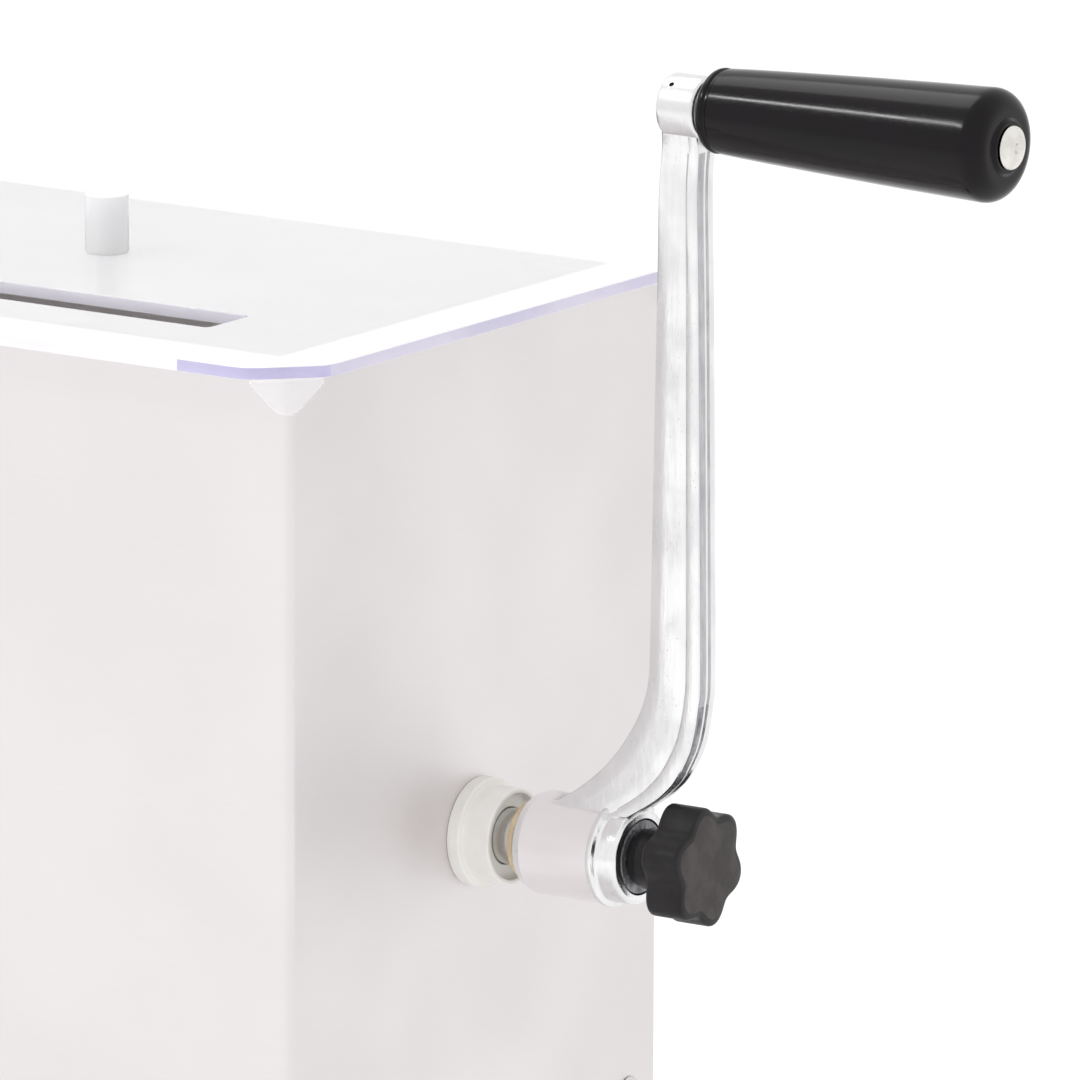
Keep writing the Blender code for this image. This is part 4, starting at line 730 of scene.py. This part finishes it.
# side view of the arm in millimetres: inner edge x and rise, then outer edge x and rise,
# x from the hub's inner end and the rise above the shaft's axis
arm = dict(
    stations=[
        (6.0, 8.0, 32.5, 8.0), (9.7, 13.9, 36.9, 13.4), (14.6, 16.8, 40.2, 14.2), (19.9, 20.4, 44.6, 16.9),
        (25.4, 24.9, 48.6, 19.6), (30.7, 29.9, 52.3, 22.6), (36.6, 37.1, 57.0, 27.8),
        (42.1, 46.1, 61.6, 36.6), (44.6, 52.4, 63.6, 43.4), (46.1, 58.9, 65.0, 52.0),
        (46.6, 67.0, 65.7, 62.0), (47.3, 105.0, 65.3, 104.0), (48.0, 145.0, 64.8, 145.0),
        (48.7, 185.0, 64.2, 185.0), (49.2, 218.0, 63.6, 218.0), (50.6, 232.0, 64.4, 232.0),
        (51.5, 243.7, 64.5, 243.7)],
    perStation=6, halfWidth=5.1, innerRound=0.9, outerRound=0.6, lineAt=0.76, lineDepth=0.16,
    rootFlare=6.5, rootFlareTop=25.0, rootFlareRun=17.0, eyeFlare=3.4, eyeFlareLow=224.0, eyeRise=243.7,
    bendRise=36, bendReach=22, shadeStretchFrom=17.0, shadeStretchTo=231.0, landDepth=0.22, ridge=0.75, bendGroove=0.6)
hub = dict(length=0.0412, radius=0.0167, inner=0.0135, chamfer=0.005, bead=0.0310, beadRise=0.0006,
           endRadius=0.0155, endRound=0.0018, recess=0.0124, recessDepth=0.0024, bore=0.0073)
eye = dict(start=0.0510, length=0.0145, radius=0.0103, round=0.0016, pinBore=0.0043, oilHole=0.0009,
           oilAt=0.0042, oilTurn=(0, -0.64, 0.77), oilFrom=0.0062, oilTo=0.0125)
# the second and fourth crank finishes are painted shade on the same cast metal
crankFinishes = ["castMetal", "castPaintedDeepShade", "machinedHub", "castPaintedShade"]
polished, paintedDeepShade, machined, paintedShade = range(4)  # places in crankFinishes


def armSection(depth, bendShare, flare):
    # outline across the arm in millimetres: distance out from the inner edge, place across, and
    # the finish of the stretch that starts there
    # the inner edge, the cast line's groove and the sunk land are painted with shade and dark reflection
    half = arm["halfWidth"] + flare
    inner, outer, ridge = arm["innerRound"], arm["outerRound"], arm["ridge"]
    line = depth * arm["lineAt"]
    # the sunk land is painted with deep shade near the bend and with shade elsewhere
    sunk, landShade = arm["landDepth"] + arm["bendGroove"] * bendShare, paintedDeepShade if bendShare > 0.25 else paintedShade
    return [
        (0, -half + inner * 1.3, paintedShade), (inner * 0.12, -half + inner * 0.7, paintedShade),
        (inner * 0.45, -half + inner * 0.22, polished), (inner, -half, polished),
        (depth * 0.3, -half - 0.03, polished), (depth * 0.55, -half - 0.02, polished),
        (line - 0.45, -half, paintedShade), (line, -half + arm["lineDepth"], polished),
        (line + 0.45, -half + 0.03, polished), (depth - outer, -half + 0.12, polished),
        (depth - outer * 0.5, -half + outer * 0.3, polished),
        (depth - outer * 0.15, -half + outer * 0.75, polished), (depth, -half + outer * 1.1, polished),
        (depth - sunk * 0.4, -half * 0.86, landShade), (depth - sunk, -half * 0.76, landShade),
        (depth - sunk, -half * 0.28, landShade), (depth - 0.10, -half * 0.14, polished),
        (depth, -half * 0.06, polished), (depth - 0.05, half * 0.04, landShade),
        (depth - ridge * 0.8, half * 0.12, landShade), (depth - ridge, half * 0.34, landShade),
        (depth - ridge * 0.7, half * 0.50, polished), (depth - 0.12, half * 0.58, polished),
        (depth, half * 0.66, polished), (depth, half - outer * 1.1, polished),
        (depth - outer * 0.15, half - outer * 0.75, polished),
        (depth - outer * 0.5, half - outer * 0.3, polished), (depth - outer, half, polished),
        (depth * 0.5, half + 0.02, polished), (inner, half, polished),
        (inner * 0.45, half - inner * 0.22, polished), (inner * 0.12, half - inner * 0.7, polished),
        (0, half - inner * 1.3, polished), (0, 0, polished)]


def makeArm():
    points, faces, indices = [], [], []
    for step in range((len(arm["stations"]) - 1) * arm["perStation"] + 1):
        innerX, innerZ, outerX, outerZ = smoothPath(arm["stations"], step / arm["perStation"])
        inner = Vector((innerX, innerZ))
        across = Vector((outerX, outerZ)) - inner
        depth = across.length
        across.normalize()
        middle = (innerZ + outerZ) / 2
        bendShare = max(0.0, 1 - abs(middle - arm["bendRise"]) / arm["bendReach"]) ** 0.6
        flare = 0.0
        if middle < arm["rootFlareTop"]:
            flare = arm["rootFlare"] * ((arm["rootFlareTop"] - middle) / arm["rootFlareRun"]) ** 2
        if middle > arm["eyeFlareLow"]:
            share = (middle - arm["eyeFlareLow"]) / (arm["eyeRise"] - arm["eyeFlareLow"])
            flare = arm["eyeFlare"] * share ** 2
        section = armSection(depth, bendShare, flare)
        size = len(section)
        for along, y, _ in section:
            spot = inner + across * along
            points.append((armLow.x + spot.x / 1000, y / 1000, axisZ + spot.y / 1000))
        if step:
            low = len(points) - 2 * size
            for row in range(size):
                after = (row + 1) % size
                faces.append((low + row, low + after, low + size + after, low + size + row))
                # painted shade shows only on this stretch of the arm; elsewhere it stays polished
                inShadeStretch = arm["shadeStretchFrom"] < middle < arm["shadeStretchTo"]
                indices.append(section[row][2] if inShadeStretch else polished)
    faces.append(tuple(range(size)))
    faces.append(tuple(range(len(points) - 1, len(points) - size - 1, -1)))
    indices += [polished, polished]
    return makeMesh("crankCasting", points, faces, crankFinishes, indices, 32)


def makeHub():
    end, bead, chamfer, radius = hub["length"], hub["bead"], hub["chamfer"], hub["radius"]
    corners = [
        (end, 0, 0), (end, hub["endRadius"], hub["endRound"]), (bead + 0.0026, hub["endRadius"], 0.0010),
        (bead + 0.0017, radius + hub["beadRise"], 0.0005), (bead, radius + hub["beadRise"], 0.0007),
        (bead - 0.0006, radius - 0.0002, 0.0003), (chamfer, radius, 0.0012),
        (chamfer * 0.3, radius - 0.0016, 0.0012), (0, hub["inner"], 0.0006), (0, 0, 0)]
    profile = roundCorners(corners, 5, closed=False)
    bands = [machined if chamfer * 0.9 < (first + second) / 2 < bead else polished
             for (first, _), (second, _) in zip(profile, profile[1:])]
    return turnProfile("crankHub", profile, (armLow.x, 0, axisZ), alongShaft, crankFinishes, 128,
                       bands=bands, sharpAngle=32)


def makeEye():
    length, radius, soft = eye["length"], eye["radius"], eye["round"]
    profile = roundCorners([(length, 0, 0), (length, radius, soft), (0, radius, soft), (0, 0, 0)], 5,
                           closed=False)
    return turnProfile("eyeBoss", profile, (armLow.x + eye["start"], 0, gripZ), alongShaft,
                       crankFinishes, 80)


def makeCrank():
    end = armLow.x + hub["length"]
    seat = end - hub["recessDepth"]
    eyeX = armLow.x + eye["start"]
    onShaft, onEye = (0, 0, axisZ), (eyeX, 0, gripZ)
    profile = roundCorners([(seat, 0, 0), (seat, hub["recess"], 0.0003),
                            (end + 0.003, hub["recess"], 0), (end + 0.003, 0, 0)], 3, closed=False)
    # the recess and the holes are painted with deep shade
    openings = [
        turnProfile("recess", profile, onShaft, alongShaft, crankFinishes, 96, bands=[paintedDeepShade] * len(profile)),
        makePlug("bore", armLow.x - 0.002, end, hub["bore"], onShaft, alongShaft, crankFinishes, 64, paintedDeepShade),
        makePlug("pinBore", -0.004, 0.02, eye["pinBore"], onEye, alongShaft, crankFinishes, 48, paintedDeepShade),
        makePlug("oilHole", eye["oilFrom"], eye["oilTo"], eye["oilHole"], (eyeX + eye["oilAt"], 0, gripZ),
                 eye["oilTurn"], crankFinishes, 24, paintedDeepShade)]
    mesh = shapeWith(makeArm(), [makeHub(), makeEye()], "UNION")
    mesh = shapeWith(mesh, openings, "DIFFERENCE")
    shadeSmooth(mesh, 32)
    addPiece("crankCasting", mesh, "rotor", "cast_metal", "crank_arm")


# each washer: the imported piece, its finish and slot, its bore, and the height of its axis
washers = {
    "brassWasher": ("thrust_washer", "brass", "brass", 0.0073, axisZ),
    # the washer at the bottom of the hub's recess is painted with deep shade
    "clampWasher": ("hub_washer", "castPaintedDeepShade", "bright_steel", 0.0043, axisZ),
    "gripWasher": ("grip_washer", "brightSteel", "bright_steel", 0.0043, gripZ),
}
washerEdge = 0.0003


def makeWasher(name, node, finishName, slotName, bore, height):
    low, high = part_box(node)
    radius = (high.y - low.y) / 2
    corners = [(low.x, bore, 0), (low.x, radius, washerEdge), (high.x, radius, washerEdge),
               (high.x, bore, 0)]
    mesh = turnProfile(name, roundCorners(corners, 3), (0, 0, height), alongShaft, [finishName], 96, True)
    addPiece(name, mesh, "rotor", slotName, node)


makeCrank()
for name, details in washers.items():
    makeWasher(name, *details)
print("crank made")

grip = dict(innerRadius=0.0134, outerRadius=0.0183, swell=0.00035, roundOut=0.0064, roundIn=0.0022,
            seatSunk=0.0012, seatRadius=0.0092, bossRadius=0.0082, ringAt=0.0036, ringDepth=0.0006,
            ringHalf=0.0004, ringSlope=0.0011, bore=0.0043)
pin = dict(head=0.007, dimple=0.0017, dimpleDepth=0.0016, crown=0.0046, shank=0.004, offGrip=0.0003,
           tail=0.0062, tailThick=0.0014)


def makeGrip():
    length = gripHigh.x - gripLow.x
    slope = (grip["outerRadius"] - grip["innerRadius"]) / length

    def radiusAt(along):  # very slightly swollen between the two ends
        return grip["innerRadius"] + slope * along + grip["swell"] * sin(pi * along / length)

    ring, half, wide = grip["ringAt"], grip["ringHalf"], grip["ringSlope"]
    sunk = radiusAt(ring) - grip["ringDepth"]
    seat = length - grip["seatSunk"]
    corners = [(0, grip["bore"], 0), (0, radiusAt(0), grip["roundIn"]),
               (ring - wide, radiusAt(ring), 0.0003), (ring - half, sunk, 0.0002),
               (ring + half, sunk, 0.0002), (ring + wide, radiusAt(ring), 0.0003)]
    corners += [(length * step / 10, radiusAt(length * step / 10), 0) for step in range(1, 10)]
    corners += [(seat, grip["outerRadius"], grip["roundOut"]), (seat, grip["seatRadius"], 0.0006),
                (length, grip["bossRadius"], 0.0004), (length, grip["bore"], 0)]
    mesh = turnProfile("crankGrip", roundCorners(corners, 9), (gripLow.x, 0, gripZ), alongShaft,
                       ["gripPlastic"], 128, True)
    addPiece("crankGrip", mesh, "grip", "black_plastic", "grip")


def makePin():
    low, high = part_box("grip_pin")
    top, end = high.x, low.x + pin["tailThick"]
    under = gripHigh.x + pin["offGrip"]
    head, dimple, shank, tail = (pin[key] for key in ("head", "dimple", "shank", "tail"))
    corners = [(top - pin["dimpleDepth"], 0, 0), (top - 0.0013, dimple * 0.6, 0.0003),
               (top - 0.0001, dimple, 0.0002), (top, 0.0024, 0.0004),
               (top - 0.0004, pin["crown"], 0.001), (top - 0.0013, head - 0.0003, 0.0006),
               (under + 0.0002, head, 0.0002), (under, head - 0.0002, 0), (under, shank, 0),
               (end, shank, 0), (end, tail, 0.0006), (low.x, tail * 0.5, 0.0004), (low.x, 0, 0)]
    mesh = turnProfile("gripPin", roundCorners(corners, 4, closed=False), (0, 0, gripZ), alongShaft,
                       ["pinSteel"], 72)
    addPiece("gripPin", mesh, "rotor", "bright_steel", "grip_pin")


makeGrip()
makePin()
print("grip made")

knob = dict(head=0.020, valley=0.0166, lobes=6, fullness=0.10, turn=41, thick=0.0138, backRound=0.0014,
            frontRound=0.0012, neck=0.0100, step=0.0009, stepAt=0.0026, pointsRound=192, edgeSteps=4,
            studHole=0.0043, studDepth=0.0205)
knobFinishes = ["knobPlastic", "knobFacePaintedSheen"]


def lobedRing(x, inset):
    middle = (knob["head"] + knob["valley"]) / 2
    swing = (knob["head"] - knob["valley"]) / 2
    ring = []
    for index in range(knob["pointsRound"]):
        turn = 2 * pi * index / knob["pointsRound"]
        wave = cos(knob["lobes"] * (turn - radians(knob["turn"])))
        radius = middle + swing * (wave + knob["fullness"] * (1 - wave * wave)) - inset
        ring.append((x, radius * cos(turn), axisZ + radius * sin(turn)))
    return ring


def makeKnobHead(back, front):
    turns = [pi / 2 * step / knob["edgeSteps"] for step in range(knob["edgeSteps"] + 1)]
    soft, frontSoft = knob["backRound"], knob["frontRound"]
    rings = [lobedRing(back, 0.0100), lobedRing(back, 0.0024)]
    rings += [lobedRing(back + soft * (1 - sin(turn)), soft * (1 - cos(turn))) for turn in turns[::-1]]
    rings += [lobedRing(front - 0.0003 - frontSoft * (1 - sin(turn)), frontSoft * (1 - cos(turn)))
              for turn in turns]
    rings += [lobedRing(front - 0.0001, 0.0026), lobedRing(front, 0.0040), lobedRing(front, 0.0090)]
    size = knob["pointsRound"]
    points = [point for ring in rings for point in ring]
    faces = []
    for row in range(len(rings) - 1):
        low, high = row * size, (row + 1) * size
        for step in range(size):
            after = (step + 1) % size
            faces.append((low + step, low + after, high + after, high + step))
    faces.append(tuple(range(size - 1, -1, -1)))
    faces.append(tuple(range((len(rings) - 1) * size, len(rings) * size)))
    frontFrom = (len(rings) - 3) * size  # the flat face is painted paler than the sides, a painted sheen on the same plastic
    indices = [1 if min(face) >= frontFrom else 0 for face in faces]
    return makeMesh("starKnob", points, faces, knobFinishes, indices, 42)


def makeKnob():
    front = knobHigh.x
    back = front - knob["thick"]
    neck, small, stepX = knob["neck"], knob["neck"] - knob["step"], knobLow.x + knob["stepAt"]
    corners = [(back + 0.004, 0, 0), (back + 0.004, neck, 0), (back + 0.0002, neck, 0.0006),
               (back - 0.0006, neck - 0.0001, 0), (stepX + 0.0005, neck, 0.0003),
               (stepX, small, 0.0003), (knobLow.x, small, 0.0004), (knobLow.x, 0, 0)]
    stub = turnProfile("knobNeck", roundCorners(corners, 4, closed=False), (0, 0, axisZ), alongShaft,
                       knobFinishes, 80)
    mesh = shapeWith(makeKnobHead(back, front), [stub], "UNION")
    hole = makePlug("studOpening", knobLow.x - 0.002, knobLow.x + knob["studDepth"], knob["studHole"],
                    (0, 0, axisZ), alongShaft, knobFinishes, 40)
    mesh = shapeWith(mesh, [hole], "DIFFERENCE")
    shadeSmooth(mesh, 42)
    addPiece("starKnob", mesh, "clamp_knob", "black_plastic", "star_knob")
    dressNode("knob_stud", "brightSteel")


makeKnob()
print("star knob made")

lid = dict(thick=0.004, cut=0.019, blend=0.012, cornerShadeReach=0.026, edge=0.00035, slotLength=0.195,
           slotWidth=0.023, slotFromFront=0.0568, slotCorner=0.002)
lidKnob = dict(radius=0.0071, bore=0.0033, boreDepth=0.0133, boreTip=0.0012, edge=0.0006, underEdge=0.0004)
lidScrew = dict(shank=0.0028, head=0.0055, headThick=0.003, rim=0.0015, dome=0.0037, gap=0.0003)
tab = dict(thick=0.003, depth=0.0115, tip=0.0063, end=0.001, edge=0.0005, gap=0.0003)


def makeLid():
    halfX, halfY = (lidHigh.x - lidLow.x) / 2, (lidHigh.y - lidLow.y) / 2
    cut, blend = lid["cut"], lid["blend"]
    cornerShadeFrom = halfX - cut - lid["cornerShadeReach"]
    corners = []
    for sideX, sideY, first in ((1, -1, True), (1, 1, False), (-1, 1, True), (-1, -1, False)):
        onEnd = (sideX * halfX, sideY * (halfY - cut), blend)
        onSide = (sideX * (halfX - cut), sideY * halfY, blend)
        cornerShadeEnd = (sideX * cornerShadeFrom, sideY * halfY, 0)
        corners += [cornerShadeEnd, onSide, onEnd] if first else [onEnd, onSide, cornerShadeEnd]
    slotY = -halfY + lid["slotFromFront"]
    halfSlot, halfWide, small = lid["slotLength"] / 2, lid["slotWidth"] / 2, lid["slotCorner"]
    slot = [(-halfSlot, slotY - halfWide, small), (halfSlot, slotY - halfWide, small),
            (halfSlot, slotY + halfWide, small), (-halfSlot, slotY + halfWide, small)]
    low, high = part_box("lid_knob")
    hole = circle(lidKnob["bore"], 40, (low.y + high.y) / 2)
    mesh = cutSheet("clearLid", [roundCorners(corners, 10), roundCorners(slot, 6), hole], lid["thick"],
                    lid["edge"], Matrix.Translation((tankX, 0, (lidLow.z + lidHigh.z) / 2)),
                    ["clearSheet", "cutCornerShade", "cutEndShade", "cutFrontLit"])
    for face in mesh.polygons:  # the long edges near the corners take the corners' painted shade
        nearCorner = abs(face.center.x - tankX) > cornerShadeFrom and abs(face.center.y) > halfY - 0.001
        if face.material_index == 3 and nearCorner:
            face.material_index = 1
    addPiece("clearLid", mesh, "lid", "clear_plastic", "lid")


def makeLidKnob():
    low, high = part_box("lid_knob")
    x, y = (low.x + high.x) / 2, (low.y + high.y) / 2
    height, radius, bore, depth = high.z - low.z, lidKnob["radius"], lidKnob["bore"], lidKnob["boreDepth"]
    corners = [(height, 0, 0), (height, radius, lidKnob["edge"]), (0, radius, lidKnob["underEdge"]),
               (0, bore, 0), (depth, bore, 0.0002), (depth + lidKnob["boreTip"], 0, 0)]
    mesh = turnProfile("lidKnob", roundCorners(corners, 4, closed=False), (x, y, low.z), upwards,
                       ["clearRod"], 96)
    addPiece("lidKnob", mesh, "lid", "clear_plastic", "lid_knob")
    low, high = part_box("lid_knob_screw")
    gap, thick = lidScrew["gap"], lidScrew["headThick"]
    top = high.z - low.z - thick
    corners = [(top, 0, 0), (top, lidScrew["shank"], 0.0004), (-gap, lidScrew["shank"], 0),
               (-gap, lidScrew["head"], 0.0004), (-lidScrew["rim"], lidScrew["head"], 0.0008),
               (-thick, lidScrew["dome"], 0.0006), (-thick, 0, 0)]
    mesh = turnProfile("lidKnobScrew", roundCorners(corners, 3, closed=False), (x, y, lidLow.z), upwards,
                       ["clearMoulding"], 48)
    addPiece("lidKnobScrew", mesh, "lid", "clear_plastic", "lid_knob_screw")


def makeTab(number, sideX, sideY):
    depth, tip, end = tab["depth"], tab["tip"], tab["end"]
    half = lid["cut"] / sqrt(2) - tab["gap"]
    point = depth
    for _ in range(4):  # the sharp point that leaves the rounded tip at the tab's depth
        point = depth + tip * (1 / sin(atan2(half, point)) - 1)
    outline = roundCorners([(-half, 0, end), (0, -point, tip), (half, 0, end)], 9)
    outwards = Vector((sideX, sideY, 0)).normalized()
    along = upwards.cross(outwards)
    spot = Vector((tankX + sideX * ((lidHigh.x - lidLow.x) - lid["cut"]) / 2,
                   sideY * ((lidHigh.y - lidLow.y) - lid["cut"]) / 2, lidLow.z - tab["gap"]))
    spot -= outwards * tab["thick"] / 2
    turn = Matrix((along, upwards, outwards)).transposed().to_4x4()
    mesh = cutSheet(f"lidTab_{number}", [outline], tab["thick"], tab["edge"],
                    Matrix.Translation(spot) @ turn, ["clearMoulding"])
    addPiece(f"lidTab_{number}", mesh, "lid", "clear_plastic", f"corner_tab_{number}")


makeLid()
makeLidKnob()
for number, (sideX, sideY) in enumerate([(1, -1), (1, 1), (-1, 1), (-1, -1)], 1):
    makeTab(number, sideX, sideY)
print("lid made")

studio = dict(floorHalf=14.0, surround=1.02)
# each lamp: where it stands, how long and wide it is, its power, and where it points
lamps = {
    "streakLight": ((-1.38, -1.5, 2.1), (0.9, 0.13), 12.5, (0.15, 0.0, 0.45)),
    "overhead": ((-1.3, 0.5, 2.9), (1.5, 1.3), 11.0, (0.0, 0.0, 0.4)),
}
shot = dict(location=(2.7039, -3.8585, 1.3847), heading=34.121, pitch=12.248, roll=0.201, lens=501.23,
            film=36, farClip=100)


def makeStudio():
    half = studio["floorHalf"]
    sheet = makeMesh("studioFloor", [(-half, -half, 0), (half, -half, 0), (half, half, 0), (-half, half, 0)],
                     [(0, 1, 2, 3)], ["floorPaper"])
    floor = bpy.data.objects.new("studioFloor", sheet)
    bpy.context.scene.collection.objects.link(floor)
    surround = bpy.data.worlds.new("whiteRoom")
    surround.use_nodes = True
    light = surround.node_tree.nodes["Background"]
    light.inputs["Color"].default_value = (1.0, 1.0, 1.0, 1)
    light.inputs["Strength"].default_value = studio["surround"]
    bpy.context.scene.world = surround
    for name, (spot, size, power, aim) in lamps.items():
        lamp = bpy.data.lights.new(name, "AREA")
        lamp.shape = "RECTANGLE"
        lamp.size, lamp.size_y = size
        lamp.energy = power
        holder = bpy.data.objects.new(name, lamp)
        holder.location = spot
        holder.rotation_euler = (Vector(aim) - Vector(spot)).to_track_quat("-Z", "Y").to_euler()
        bpy.context.scene.collection.objects.link(holder)


def makeCamera():
    lens = bpy.data.cameras.new("camera")
    lens.lens = shot["lens"]
    lens.sensor_width = shot["film"]
    lens.clip_end = shot["farClip"]
    camera = bpy.data.objects.new("camera", lens)
    camera.matrix_world = (Matrix.Translation(shot["location"])
                           @ Matrix.Rotation(radians(shot["heading"]), 4, "Z")
                           @ Matrix.Rotation(radians(90 - shot["pitch"]), 4, "X")
                           @ Matrix.Rotation(radians(shot["roll"]), 4, "Z"))
    bpy.context.scene.collection.objects.link(camera)
    bpy.context.scene.camera = camera


makeStudio()
makeCamera()
bpy.context.scene.view_settings.view_transform = "Standard"
print("studio and camera made")
